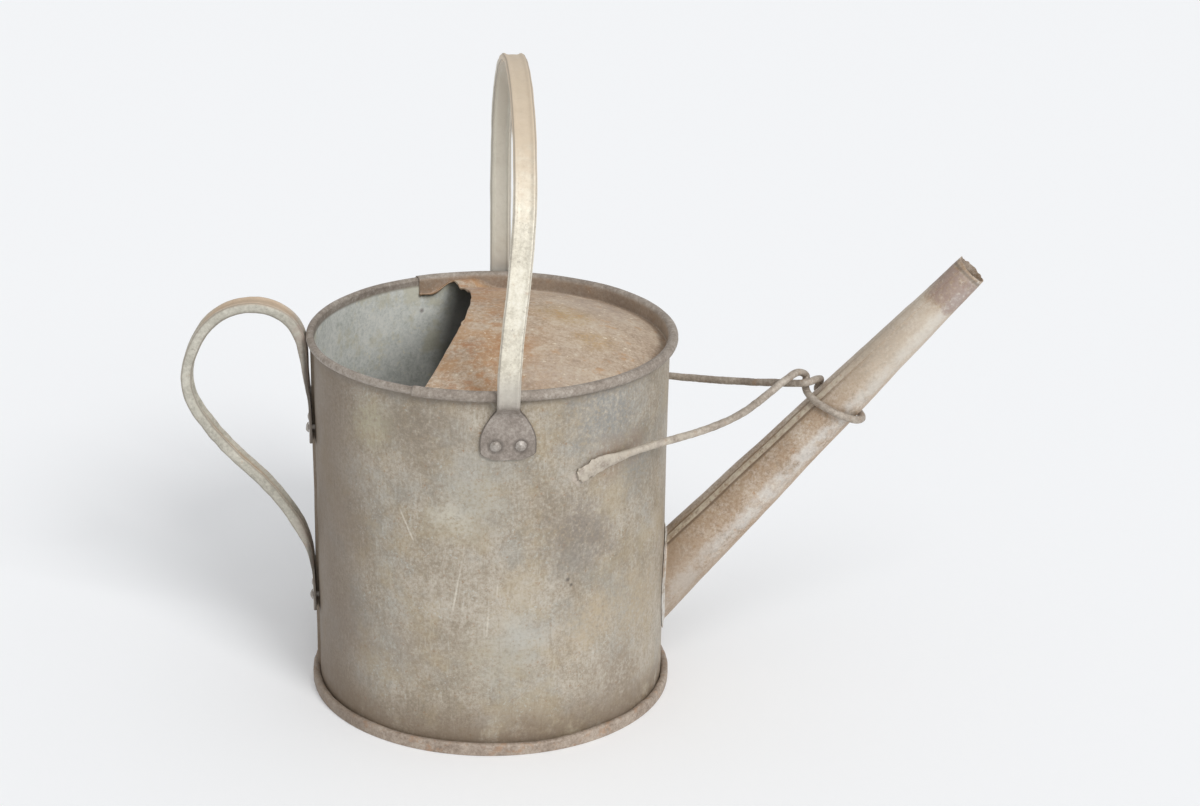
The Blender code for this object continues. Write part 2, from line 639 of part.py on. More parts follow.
def brace_ring():
    """Turn of wire round the spout, tilted, from the near side under it to the far side."""
    axis = np.array(SPOUT_AXIS)
    up = np.array(SPOUT_UP)
    centre = np.array(SPOUT_ROOT) + axis * BRACE_RING_PLACE
    radius = spout_radius(BRACE_RING_PLACE) + SPOUT_LAP_HEIGHT + FIT_GAP + BRACE_WIRE_RADIUS
    lean = up * math.cos(BRACE_RING_TILT) - axis * math.sin(BRACE_RING_TILT)
    side = np.array((0.0, -1.0, 0.0))
    turn = [centre + lean * radius / math.cos(BRACE_RING_TILT) * math.cos(a)
            + side * radius * math.sin(a)
            for a in np.linspace(BRACE_RING_START, BRACE_RING_END, 12)]
    hooks = [[centre + axis * a * MM + np.array((0.0, y * MM, 0.0)) + up * (radius + n * MM)
              for a, y, n in hook] for hook in (BRACE_NEAR_HOOK, BRACE_FAR_HOOK)]
    return hooks[0] + turn + hooks[1]


def spout_brace():
    """One wire, round along its run and flattened where it is soldered to the wall."""
    near = brace_leg(-1, BRACE_NEAR_FOOT_DROP)
    far = brace_leg(1, BRACE_FAR_FOOT_DROP)
    path = smooth_path(near + brace_ring() + far[::-1], BRACE_STATION)
    slope = tangents(path)
    steps = np.linalg.norm(np.diff(path, axis=0), axis=1)
    place = np.concatenate([[0.0], np.cumsum(steps)])
    foot = BODY_RADIUS * (BRACE_FOOT_START - BRACE_FOOT_END)
    from_end = np.minimum(place, place[-1] - place)
    round_share = np.clip((from_end - foot) / BRACE_FOOT_TAPER, 0.0, 1.0)

    normals = [np.array((path[0][0], path[0][1], 0.0))]
    for tangent in slope:
        turned_normal = normals[-1] - tangent * (normals[-1] @ tangent)
        normals.append(turned_normal / np.linalg.norm(turned_normal))
    normals = np.array(normals[1:])
    wanted = np.array((path[-1][0], path[-1][1], 0.0))
    wanted = wanted - slope[-1] * (wanted @ slope[-1])
    binormal = np.cross(slope[-1], normals[-1])
    twist = math.atan2(wanted @ binormal, wanted @ normals[-1])

    sides = np.linspace(0.0, 2 * math.pi, 9)[:-1] + math.pi / 8
    sections = []
    for index, (centre, tangent, normal) in enumerate(zip(path, slope, normals)):
        spin = twist * place[index] / place[-1]
        cross = np.cross(tangent, normal)
        out = normal * math.cos(spin) + cross * math.sin(spin)
        wide = np.cross(tangent, out)
        share = round_share[index]
        thin = BRACE_FOOT_HALF_THICKNESS + (BRACE_WIRE_RADIUS - BRACE_FOOT_HALF_THICKNESS) * share
        broad = BRACE_FOOT_HALF_WIDTH + (BRACE_WIRE_RADIUS - BRACE_FOOT_HALF_WIDTH) * share
        if index in (0, len(path) - 1):
            broad = broad * 0.6
        sections.append([centre + out * thin * math.cos(a) + wide * broad * math.sin(a)
                         for a in sides])
    return as_part(loft("spout_brace", sections), "spout_brace", WIRE)


clear_scene()
PARTS = new_collection("watering_can")
CUTTERS = new_collection("cutters")
GALVANISED = metal("weathered_galvanised_sheet", (0.24, 0.21, 0.17), 0.6, 0.6)
RUSTED = metal("rusted_sheet", (0.34, 0.21, 0.12), 0.2, 0.8)
PALE_STRAP = metal("pale_galvanised_strap", (0.60, 0.54, 0.44), 0.4, 0.6)
STRAP = metal("grey_galvanised_strap", (0.41, 0.40, 0.36), 0.5, 0.6)
SPOUT_METAL = metal("yellowed_galvanised_sheet", (0.40, 0.34, 0.25), 0.5, 0.6)
WIRE = metal("dull_iron_wire", (0.30, 0.25, 0.20), 0.5, 0.7)

body = body_wall()
rim_wire()
bottom_plate()
top_cover()
bail_handle()
rear_handle()
rivets(body)
spout()
spout_brace()
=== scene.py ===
"""Weathered galvanised watering can: worn sheet metal with its stains, rust and dents.

Each surface is worked out on a grid of two parameters, in metres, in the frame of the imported
solids: origin at the centre of the base, spout towards +X, +Z up, photographed side at -Y.
"""

import math

import bmesh
import bpy
import numpy as np
from mathutils import Matrix, Vector


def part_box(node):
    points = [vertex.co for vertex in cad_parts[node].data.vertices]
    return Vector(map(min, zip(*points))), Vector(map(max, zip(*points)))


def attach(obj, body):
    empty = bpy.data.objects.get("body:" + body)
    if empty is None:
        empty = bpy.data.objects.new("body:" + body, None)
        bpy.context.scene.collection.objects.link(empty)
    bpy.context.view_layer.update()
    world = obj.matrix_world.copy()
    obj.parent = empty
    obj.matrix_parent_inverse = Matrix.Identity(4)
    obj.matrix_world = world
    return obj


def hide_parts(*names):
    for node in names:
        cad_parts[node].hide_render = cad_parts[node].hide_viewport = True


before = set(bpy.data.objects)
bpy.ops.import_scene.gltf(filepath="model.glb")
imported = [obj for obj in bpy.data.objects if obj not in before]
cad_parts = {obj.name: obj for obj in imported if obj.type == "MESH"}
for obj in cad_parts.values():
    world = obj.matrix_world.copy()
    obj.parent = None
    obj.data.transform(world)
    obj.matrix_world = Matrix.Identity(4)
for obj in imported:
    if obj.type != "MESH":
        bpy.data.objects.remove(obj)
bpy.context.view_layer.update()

MM = 0.001
TAU = 2 * math.pi

# Body, base and rim
FIT_GAP = 0.3 * MM
BODY_RADIUS = 105.0 * MM
RIM_HEIGHT = 224.4 * MM
SHEET = 0.6 * MM
RIM_WIRE_RADIUS = 1.4 * MM
BASE_SHEET = 0.6 * MM
FOOT_BAND_HEIGHT = 7.1 * MM
FOOT_FOLD_GAP = 0.9 * MM
BODY_FLANGE_HEIGHT = 4.9 * MM
BEAD_RADIUS = RIM_WIRE_RADIUS + FIT_GAP + SHEET
BEAD_CENTRE_R = BODY_RADIUS - SHEET + BEAD_RADIUS
BEAD_CENTRE_Z = RIM_HEIGHT - BEAD_RADIUS

# Where the bead's curl starts and ends on its section, in degrees
CURL = (175.0, -120.0)

# The worn foot fold: slit left to the wall, and its notch by azimuth in degrees and height in mm
FOOT_SLIT = 0.15 * MM
FOOT_NOTCH = (-103.5, 3.0)

# Folded side seam: its height over the sheet by distance across it, near side negative
SEAM_HEIGHT = 1.8 * MM
SEAM_STEP = 1.3 * MM
SEAM_ACROSS = np.array([-3.6, -3.5, -3.0, 1.75, 2.25, 3.5, 3.6]) * MM
SEAM_HEIGHTS = np.array([0.0, SEAM_STEP, SEAM_HEIGHT, SEAM_HEIGHT, SEAM_STEP, SEAM_STEP, 0.0])
SEAM_ENDS = (8.0 * MM, 218.9 * MM)
SEAM_END_SLOPE = 0.4 * MM
SEAM_COLUMNS = np.array([-4.4, -3.9, -3.6, -3.5, -3.25, -3.0, -2.0, -0.6, 0.8, 1.75, 2.0, 2.25, 3.0,
                         3.5, 3.6, 3.9, 4.4]) * MM
SEAM_CLEARANCE = 4.8 * MM

# Half cover
COVER_SHEET = 0.5 * MM
COVER_DEPTH = 9.6 * MM
COVER_RISE = 20.5 * MM
COVER_WRAP_ANGLE = math.radians(115.0)
COVER_TONGUE_ANGLE = math.radians(103.0)
TONGUE_LIP = 2.4 * MM
MOUTH_REACH = 11.7 * MM
MOUTH_CENTRE_Y = 38.0 * MM
WRAP_RADIUS = BEAD_RADIUS + FIT_GAP + COVER_SHEET
SKIRT_RADIUS = BEAD_CENTRE_R - WRAP_RADIUS
COVER_EDGE_Z = RIM_HEIGHT - COVER_DEPTH

# The tongue's bent edge: height, azimuth and spread of its arch and of its sag, in degrees
TONGUE_ARCH, ARCH_PLACE, ARCH_SPREAD = 7.0 * MM, 98.5, 8.5
TONGUE_SAG, SAG_PLACE, SAG_SPREAD = 1.6 * MM, 112.0, 2.5
TONGUE_FADE = 28.0 * MM

# Dents of the cover: place in metres, then radius and depth in mm
COVER_DENTS = [((0.030, -0.058, 0.0), 20.0, 1.1), ((0.060, 0.020, 0.0), 24.0, 0.8)]
# The cut's turned-down lip: how far it drops and how far it goes inwards, row by row
LIP_DROPS = np.array([2.1, 1.7, 1.1, 0.5, 0.15]) * MM
LIP_TUCKS = np.array([0.75, 0.3, -0.1, -0.25, -0.12]) * MM
# Mean angle at which the cover's wrap ends on the bead's section, in degrees
WRAP_END = -64.0

# Strap of both handles, as shares of its half width and height round the section
STRAP_WIDTH = 13.0 * MM
BAIL_STRAP_HEIGHT = 4.2 * MM
REAR_STRAP_HEIGHT = 6.8 * MM
FOOT_THICKNESS = 1.4 * MM
STRAP_SECTION = np.array([
    (-1.0, 0.50), (-0.9, 0.88), (-0.74, 1.0), (-0.56, 0.84), (0.0, 0.80), (0.56, 0.84), (0.74, 1.0),
    (0.9, 0.88), (1.0, 0.50), (0.9, 0.12), (0.74, 0.0), (0.56, 0.30), (0.0, 0.46), (-0.56, 0.30),
    (-0.74, 0.0), (-0.9, 0.12)])

# Top handle
BAIL_X = 7.1 * MM
BAIL_LEG_HEIGHT = 47.6 * MM
BAIL_FOOT_WIDTH = 32.0 * MM
BAIL_FOOT_LENGTH = 30.0 * MM
BAIL_CREASE_DROP = 10.0 * MM
BAIL_BOW = 9.0 * MM
BAIL_BOW_PEAK = 100.0 * MM
BAIL_BOW_NEAR_SPAN = 135.0 * MM
BAIL_BOW_FAR_SPAN = 250.0 * MM
BAIL_FOOT_RADIUS = BODY_RADIUS + FIT_GAP + FOOT_THICKNESS / 2

# Rear handle: how far its middle stands off the wall, and how far below the rim it is
REAR_LOOP = np.array([
    (4.8, 26.4), (6.0, 13.0), (7.9, 2.9), (14.3, -7.2), (23.4, -12.9), (35.8, -15.0), (49.8, -11.6),
    (61.8, -2.2), (70.2, 12.0), (74.2, 26.7), (73.6, 37.4), (70.8, 46.0), (63.2, 58.8), (47.5, 78.4),
    (31.0, 95.4), (19.2, 110.7), (11.2, 123.9), (5.6, 137.4)]) * MM
REAR_UPPER_FOOT_DROP = 68.4 * MM
REAR_LOWER_FOOT_DROP = 177.4 * MM
REAR_FOOT_WIDTH = 34.0 * MM
REAR_FOOT_LENGTH = 27.0 * MM
REAR_FOOT_RADIUS = BODY_RADIUS + SEAM_HEIGHT + FIT_GAP + FOOT_THICKNESS / 2

# Rivets
RIVET_HEAD_RADIUS = 3.2 * MM
RIVET_HEAD_HEIGHT = 1.8 * MM
RIVET_SHANK_RADIUS = 1.5 * MM
RIVET_TAIL_RADIUS = 2.4 * MM
RIVET_TAIL_HEIGHT = 1.0 * MM
RIVET_SINK = 0.1 * MM

# Spout
SPOUT_ROOT = np.array((BODY_RADIUS, 0.0, 64.8 * MM))
SPOUT_RISE = math.radians(47.8)
SPOUT_LENGTH = 265.0 * MM
SPOUT_ROOT_RADIUS = 19.8 * MM
SPOUT_TIP_RADIUS = 9.9 * MM
SPOUT_SHEET = 0.6 * MM
SPOUT_FLANGE_WIDTH = 3.0 * MM
SPOUT_FLANGE_SHEET = 0.6 * MM
SPOUT_LAP_WIDTH = 5.0 * MM
SPOUT_LAP_HEIGHT = 0.6 * MM
SPOUT_LAP_ANGLE = math.radians(28.0)
SPOUT_MOUTH_TILT = math.radians(8.0)
SPOUT_AXIS = np.array((math.cos(SPOUT_RISE), 0.0, math.sin(SPOUT_RISE)))
SPOUT_UP = np.array((-math.sin(SPOUT_RISE), 0.0, math.cos(SPOUT_RISE)))
NEAR_SIDE = np.array((0.0, -1.0, 0.0))

# Dent near the spout's mouth: angle round it, place along it and height over it, then its depth
SPOUT_DENT = (np.array(0.5), np.array(235 * MM), np.array(0.0))
SPOUT_DENT_DEPTH = 0.7 * MM

# Section of the lap seam, in its half width and its height, from the side that is tucked under
LAP_ACROSS = np.array([-1.7, -1.2, -1.0, -0.96, -0.4, 0.4, 0.96, 1.0, 1.2, 1.7])
LAP_SHARES = np.array([0.0, 0.04, 0.12, 0.85, 1.0, 1.0, 0.9, 0.05, 0.0, 0.0])

# Section of the spout's flange: how far it is out from the tube and up from the wall's face
FLANGE_STEPS = [(SPOUT_FLANGE_WIDTH, 0.0), (SPOUT_FLANGE_WIDTH + 0.1 * MM, 0.3 * MM),
                (SPOUT_FLANGE_WIDTH - 0.2 * MM, SPOUT_FLANGE_SHEET),
                (2.0 * MM, SPOUT_FLANGE_SHEET + 0.05 * MM), (1.1 * MM, SPOUT_FLANGE_SHEET + 0.15 * MM),
                (0.5 * MM, SPOUT_FLANGE_SHEET + 0.4 * MM), (0.15 * MM, SPOUT_FLANGE_SHEET + 0.75 * MM)]

# Brace wire
BRACE_WIRE_RADIUS = 2.3 * MM
BRACE_FOOT_HALF_THICKNESS = 1.2 * MM
BRACE_FOOT_HALF_WIDTH = 3.9 * MM
BRACE_FOOT_DROPS = (54.4 * MM, 60.0 * MM)
BRACE_FOOT_RISE = 4.5 * MM
BRACE_FOOT_START = math.radians(64.0)
BRACE_FOOT_END = math.radians(55.5)
BRACE_FOOT_TAPER = 20.0 * MM
TORN_DEPTH = 1.1 * MM
TORN_SPREAD = 0.25
BRACE_RING_PLACE = 150.0 * MM
BRACE_RING_TILT = math.radians(18.0)
BRACE_RING_START = math.radians(35.0)
BRACE_RING_END = math.radians(300.0)
# Points of the hooks: along the spout, towards the far side, and up from the top of the ring
BRACE_NEAR_HOOK = np.array([
    (-29.4, -26.0, 27.9), (-18.8, -17.0, 23.2), (-7.9, -9.0, 18.9), (-0.1, 1.0, 12.6),
    (0.0, 6.5, 5.9), (-4.5, 2.0, 2.6)]) * MM
BRACE_FAR_HOOK = np.array([
    (3.5, 11.0, -4.0), (3.5, 3.0, 0.9), (-0.5, -4.0, 6.2), (-6.8, 0.5, 9.9), (-14.6, 9.5, 14.0),
    (-24.9, 20.0, 20.1)]) * MM

# Wear as ripples: depth and length in mm, and the seed of the random waves
WALL_RIPPLES = ((0.22, 95, 3), (0.05, 22, 4))
FOOT_LUMPS = ((0.16, 11, 8), (0.18, 60, 9))
COVER_RIPPLES = ((0.45, 70, 5), (0.1, 18, 6))
WIRE_LUMPS = ((0.07, 9, 60), (0.05, 3.5, 61))

# How finely the surfaces are divided
WALL_COLUMNS, WALL_ROWS, BEAD_ROWS, BASE_COLUMNS = 300, 66, 26, 360
COVER_COLUMNS, COVER_ROWS, WRAP_ROWS = 360, 46, 24
SECTION_POINTS, HOOP_STEPS, LOOP_STEPS = 44, 440, 400
RIVET_COLUMNS, DOME_ROWS = 40, 14
SPOUT_COLUMNS, BORE_ROWS, SKIN_ROWS = 92, 50, 150
WIRE_STEPS, WIRE_POINTS = 620, 20
# How much the cover's rows crowd towards its cut and its rim
EDGE_CROWDING = 0.55

# Viewpoint of the photograph, in metres and degrees
CAMERA_PLACE = Vector((-0.02446, -1.37156, 0.70580))
CAMERA_YAW = math.radians(3.711)
CAMERA_PITCH = math.radians(21.037)
CAMERA_ROLL = math.radians(1.132)
CAMERA_LENS = 73.98
CAMERA_SENSOR = 36.0

# Light: where the two lamps stand, how wide they seem, and all strengths
KEY_PLACE = Vector((1.115, -1.784, 1.51))
LAMP_WIDTH = math.radians(20.0)
KEY_STRENGTH = 1.36
FRONT_PLACE = Vector((0.1, -1.5, 1.8))
FRONT_STRENGTH = 0.4
SURROUND_STRENGTH = 0.65
SURROUND_TONE = "f4f5f7"
FLOOR_TONE = "fbfcfd"
FLOOR_WIDTH = 24.0

# Ramps of tones, from the most stained zinc to the cleanest
BLOTCH_SHARE, PATCH_SHARE, GRAIN_SHARE = 0.34, 0.24, 0.42
WALL_TONES = [(0.39, "8c806f"), (0.46, "9d9281"), (0.50, "aa9f8f"), (0.54, "b5ab9c"), (0.61, "c2baac")]
RIM_TONES = [(0.40, "81766b"), (0.48, "958a7f"), (0.54, "a69c91"), (0.61, "bab1a6")]
# Inner zinc, painted paler than its own colour to stand in for light falling into the can
INSIDE_ZINC_AND_LIGHT_TONES = [(0.40, "c4c7bf"), (0.47, "d8dad3"), (0.53, "e6e7e0"), (0.60, "f0efe6")]
BASE_TONES = [(0.40, "857668"), (0.47, "9c8d7f"), (0.53, "ad9f91"), (0.60, "bdb0a1")]
COVER_TONES = [(0.40, "9c8773"), (0.46, "af9a84"), (0.51, "bfab95"), (0.56, "c7b7a2"), (0.61, "d0c3b1")]
BAIL_TONES = [(0.40, "c6bfae"), (0.47, "dcd5c4"), (0.53, "e9e3d2"), (0.60, "f1ecdf")]
FOOT_TONES = [(0.40, "786e64"), (0.48, "8b8178"), (0.54, "9b9188"), (0.60, "aca399")]
REAR_TONES = [(0.40, "9d998d"), (0.47, "b1ada0"), (0.53, "bfbbae"), (0.60, "cdc9bc")]
SPOUT_TONES = [(0.41, "8f7c69"), (0.46, "a7947f"), (0.50, "bba998"), (0.55, "cabcab"), (0.60, "dbd2c4")]
WIRE_TONES = [(0.40, "877b6f"), (0.47, "9d9184"), (0.53, "afa497"), (0.60, "c1b8ab")]
RIVET_TONES = [(0.40, "8a8178"), (0.48, "a09890"), (0.54, "b3aca4"), (0.60, "c6c0b9")]

# Larger stains of the wall: azimuth in degrees, height and radius in mm, colour, strength
WALL_STAINS = [
    (-131.0, 197.0, 16.0, "b3ac93", 0.7), (-52.0, 204.0, 34.0, "8b8c8a", 0.8),
    (-37.0, 165.0, 22.0, "8f8d87", 0.75), (-95.0, 160.0, 24.0, "bab7ad", 0.6),
    (-104.0, 146.0, 14.0, "c8c3b4", 0.7), (-88.0, 60.0, 26.0, "b9b4a5", 0.5),
    (-80.0, 72.0, 14.0, "bdbcb5", 0.6), (-44.0, 34.0, 26.0, "8d7f6f", 0.75),
    # The brown stains at azimuth -143 and -144 also paint shade on the darker side away from the key light
    (-143.0, 60.0, 20.0, "83766a", 0.5), (-144.0, 128.0, 18.0, "85786b", 0.5),
    (-113.0, 200.0, 24.0, "83786a", 0.7), (-36.0, 76.0, 28.0, "b0a087", 0.7),
    (-58.0, 76.0, 20.0, "b6a58b", 0.6), (-62.0, 132.0, 26.0, "857c73", 0.85),
    (-82.0, 12.0, 12.0, "806c5a", 0.6), (-120.0, 60.0, 22.0, "8f8374", 0.5),
    (-52.0, 176.0, 14.0, "a18772", 0.6), (-40.0, 178.0, 10.0, "a18772", 0.5),
    (-64.0, 168.5, 4.5, "cdc0b4", 0.8), (-61.0, 170.5, 4.5, "cdc0b4", 0.8),
    (-58.0, 172.5, 4.0, "cdc0b4", 0.7)]
# Small dark spots: azimuth, height and radius
WALL_SPOTS = [(-66.4, 106.1, 1.3), (-65.2, 102.5, 1.0), (-86.1, 168.1, 0.5), (-83.9, 180.7, 0.4),
              (-44.0, 140.0, 0.7), (-60.0, 138.0, 0.6)]
# Fine scratches: azimuth and height of both ends, strength
WALL_SCRATCHES = [((-98.9, 134.9), (-103.6, 84.9), 0.7), ((-91.7, 94.3), (-92.6, 72.8), 0.5),
                  ((-121.2, 150.5), (-115.3, 128.0), 0.6), ((-89.0, 112.0), (-89.3, 98.0), 0.9)]
SCRATCH_WIDTH = 0.9 * MM
# Stains of the cover: place and radius in mm, colour, strength
COVER_STAINS = [
    (-6.0, 22.0, 12.0, "a9713f", 0.6), (-4.0, 62.0, 16.0, "9b6845", 0.7),
    (10.0, -45.0, 16.0, "b07c4e", 0.6), (42.0, 5.0, 20.0, "b89a62", 0.6),
    (58.0, -28.0, 14.0, "bd9d68", 0.5), (70.0, 42.0, 28.0, "a8978a", 0.5),
    (32.0, -76.0, 22.0, "b3a092", 0.5), (8.0, 0.0, 12.0, "8a6c58", 0.6)]
COVER_STAIN_HEIGHT = 226 * MM
# A stain, in its radii: how far noise moves its outline, where it ends and where it is full
STAIN_RAGGED, STAIN_END, STAIN_CORE = 2.2, 2.5, 1.2
SMOOTH = {"interpolation_type": "SMOOTHSTEP"}


# Shapes

def curve_through(points, count, closed=False, measured=3):
    """Cubic curve through points, read at even steps of its length.

    Each stretch is Hermite's blend of its two ends and their slopes, and the slopes come from
    each point's neighbours. Length is measured on the first columns only, so that the others,
    such as a foot's width, are carried along.
    """
    points = np.asarray(points, float)
    if closed:
        points = np.concatenate([points[-3:], points, points[:4]])
    gaps = np.linalg.norm(np.diff(points[:, :measured], axis=0), axis=1)
    place = np.concatenate([[0.0], np.cumsum(gaps)])
    slopes = np.gradient(points, place, axis=0)
    low, high = (place[3], place[-4]) if closed else (place[0], place[-1])
    s = np.linspace(low, high, count, endpoint=not closed)
    i = np.clip(np.searchsorted(place, s, side="right") - 1, 0, len(gaps) - 1)
    t = ((s - place[i]) / gaps[i])[:, None]
    gap = gaps[i][:, None]
    return ((2 * t**3 - 3 * t**2 + 1) * points[i] + (t**3 - 2 * t**2 + t) * gap * slopes[i]
            + (3 * t**2 - 2 * t**3) * points[i + 1] + (t**3 - t**2) * gap * slopes[i + 1])


def xyz(x, y, z):
    """Points from coordinates of any shapes that broadcast together."""
    return np.stack(np.broadcast_arrays(x, y, z), -1).astype(float)


def turned(radius, angle, height):
    """Points at a radius and a height, turned about the can's axis."""
    return xyz(radius * np.cos(angle), radius * np.sin(angle), height)


def length_to(points):
    """Distance along a line of points, from its first point to each."""
    steps = np.linalg.norm(np.diff(points, axis=0), axis=1)
    return np.concatenate([[0.0], np.cumsum(steps)])


def unit(vectors):
    """Vectors of length 1 in the same directions."""
    return vectors / np.linalg.norm(vectors, axis=-1, keepdims=True)


def ripple(points, length, seed, waves=20):
    """Smooth uneven height of about -1 to 1: sine waves in random directions, near a length in mm."""
    rng = np.random.default_rng(seed)
    directions = unit(rng.normal(size=(waves, 3)))
    lengths = length * MM * rng.uniform(0.7, 1.7, waves)
    phases = rng.uniform(0.0, TAU, waves)
    heights = np.sin(points @ (directions * TAU / lengths[:, None]).T + phases)
    return heights.sum(-1) * 1.1 / math.sqrt(waves)


def relief(points, waves):
    """Sum of ripples, each of a depth and a length in mm and a seed."""
    return sum(depth * MM * ripple(points, length, seed) for depth, length, seed in waves)


def bump_at(points, place, radius):
    """Round hill of height 1 and a radius in mm: the bell curve of the distance from its place."""
    return np.exp(-np.sum((points - np.asarray(place)) ** 2, axis=-1) / (radius * MM) ** 2)


def on_wall(azimuth, height, radius=BODY_RADIUS):
    """Point of the wall at an azimuth in degrees and a height in mm."""
    angle = math.radians(azimuth)
    return np.array((radius * math.cos(angle), radius * math.sin(angle), height * MM))


def arc(centre, radius, start, end, count):
    """Points of (radius, height) on an arc, both ends included, angles in degrees."""
    angles = np.radians(np.linspace(start, end, count))
    return np.stack([centre[0] + radius * np.cos(angles), centre[1] + radius * np.sin(angles)], -1)


def grid_mesh(name, points, wrap_rows=False, wrap_columns=False, capped=False, marks=None):
    """Quads between the neighbours of a grid of points, welded where the grid meets itself."""
    rows, columns = points.shape[:2]
    index = np.arange(rows * columns).reshape(rows, columns)
    ring = index
    if wrap_rows:
        ring = np.concatenate([ring, ring[:1]])
    if wrap_columns:
        ring = np.concatenate([ring, ring[:, :1]], axis=1)
    quads = np.stack([ring[:-1, :-1], ring[:-1, 1:], ring[1:, 1:], ring[1:, :-1]], -1)
    faces = quads.reshape(-1, 4).tolist()
    if capped:
        faces += [index[0, ::-1].tolist(), index[-1].tolist()]
    mesh = bpy.data.meshes.new(name)
    mesh.from_pydata(points.reshape(-1, 3).tolist(), [], faces)
    for mark, values in (marks or {}).items():
        layer = mesh.attributes.new(mark, "FLOAT", "POINT")
        layer.data.foreach_set("value", np.broadcast_to(values, (rows, columns)).ravel())
    solid = bmesh.new()
    solid.from_mesh(mesh)
    bmesh.ops.remove_doubles(solid, verts=solid.verts, dist=0.002 * MM)
    bmesh.ops.recalc_face_normals(solid, faces=solid.faces)
    solid.to_mesh(mesh)
    solid.free()
    return mesh


def piece(name, mesh, material, nodes, sharp=38.0):
    """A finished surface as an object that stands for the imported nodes."""
    mesh.shade_smooth()
    mesh.set_sharp_from_angle(angle=math.radians(sharp))
    mesh.materials.append(material)
    obj = bpy.data.objects.new(name, mesh)
    bpy.context.scene.collection.objects.link(obj)
    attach(obj, "root")
    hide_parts(*nodes)
    return obj


def rim_wander(angle):
    """Slow rise and fall of the worn rim round the can: three sine waves of its azimuth."""
    waves = np.sin(3 * angle + 1.0) + 0.6 * np.sin(8 * angle + 2.0) + 0.5 * np.sin(17 * angle)
    return 0.1 * MM * waves


# Body and base

# Fittings that the wall stays true under: place, and radius in mm
FIXED_PLACES = [(SPOUT_ROOT, 40.0), (on_wall(-86.1, 195.0), 26.0), (on_wall(86.1, 195.0), 26.0),
                (on_wall(180.0, 170.0), 26.0), (on_wall(180.0, 60.0), 26.0),
                (on_wall(-60.0, 172.0), 20.0), (on_wall(60.0, 172.0), 20.0)]
# Round dings of the wall: azimuth in degrees, height, radius and depth in mm
WALL_DINGS = [(-97.0, 118.0, 26.0, 0.7), (-126.0, 70.0, 20.0, 0.6), (-70.0, 60.0, 24.0, 0.5),
              (-112.0, 172.0, 15.0, 0.4), (20.0, 150.0, 28.0, 0.8), (118.0, 110.0, 26.0, 0.7),
              (150.0, 40.0, 18.0, 0.6), (-150.0, 150.0, 18.0, 0.4)]
DENTED_BAND = (10.0 * MM, 212.0 * MM)


def wall_dents(angle, height):
    """How far the wall is pushed in: slow ripples and a few round dings, none under a fitting."""
    points = turned(BODY_RADIUS, angle, height)
    depth = sum(deep * MM * (1.0 + ripple(points, length, seed)) for deep, length, seed in WALL_RIPPLES)
    for azimuth, z, radius, deep in WALL_DINGS:
        depth = depth + deep * MM * bump_at(points, on_wall(azimuth, z), radius)
    for place, radius in FIXED_PLACES:
        depth = depth * (1.0 - bump_at(points, place, radius)) ** 2
    low, high = DENTED_BAND
    fade = 25 * MM
    return -depth * (np.clip((height - low) / fade, 0, 1) * np.clip((high - height) / fade, 0, 1))


def wall_angles():
    """Even steps round the can, with extra ones at the corners of the folded seam."""
    even = np.linspace(0.0, TAU, WALL_COLUMNS, endpoint=False)
    seam = math.pi - SEAM_COLUMNS / BODY_RADIUS
    clear = np.abs(even - math.pi) > SEAM_CLEARANCE / BODY_RADIUS
    return np.sort(np.concatenate([even[clear], seam]))


def wall_mesh():
    """Sheet turned round the axis as a closed section, inner face up and outer face back down.

    The section runs from the flange in the base's fold up the wall and round the rim wire. The
    seam is a ridge added to the outer face by its distance across the seam.
    """
    floor = BASE_SHEET + FIT_GAP
    hook = BODY_RADIUS + 2 * FOOT_FOLD_GAP + BASE_SHEET
    heights = np.linspace(floor + 2 * SHEET, BEAD_CENTRE_Z, WALL_ROWS)
    centre = (BEAD_CENTRE_R, BEAD_CENTRE_Z)
    inner_radius = BODY_RADIUS - SHEET
    inner = np.concatenate([
        [(hook + SHEET, BODY_FLANGE_HEIGHT), (hook + SHEET, floor), (inner_radius, floor)],
        np.stack([np.full(WALL_ROWS, inner_radius), heights], -1),
        arc(centre, BEAD_RADIUS, *CURL, BEAD_ROWS)])
    outer = np.concatenate([
        [(hook, BODY_FLANGE_HEIGHT), (hook, floor + SHEET), (BODY_RADIUS, floor + SHEET)],
        np.stack([np.full(WALL_ROWS, BODY_RADIUS), heights], -1),
        arc(centre, BEAD_RADIUS - SHEET, *CURL, BEAD_ROWS)])
    profile = np.concatenate([inner, outer[::-1]])
    angle = wall_angles()[None, :]
    radius, height = profile[:, :1], profile[:, 1:]
    is_outer = (np.arange(len(profile)) >= len(inner))[:, None]
    is_wall = (radius < BODY_RADIUS + 0.01 * MM) & (height > 2 * floor)
    dents = np.where(is_wall, wall_dents(angle, height), 0.0)
    across = BODY_RADIUS * np.sin(angle) + 0.35 * MM * np.sin(height / (23 * MM))
    fold = np.interp(across, SEAM_ACROSS, SEAM_HEIGHTS) * (np.cos(angle) < 0)
    low, high = SEAM_ENDS
    fold = fold * np.interp(height, [low - SEAM_END_SLOPE, low, high, high + SEAM_END_SLOPE], [0, 1, 1, 0])
    fold = fold * (is_outer & is_wall)
    near_rim = np.clip((height - BEAD_CENTRE_Z + 8 * MM) / (8 * MM), 0.0, 1.0)
    reach = radius + dents + fold
    rise = height + near_rim * rim_wander(angle)
    points = turned(reach, angle, rise)
    facing_in = np.where(is_outer | (height > BEAD_CENTRE_Z), 0.0, 1.0)
    return grid_mesh("wall_sheet", points, True, True, marks={"inner_face": facing_in})


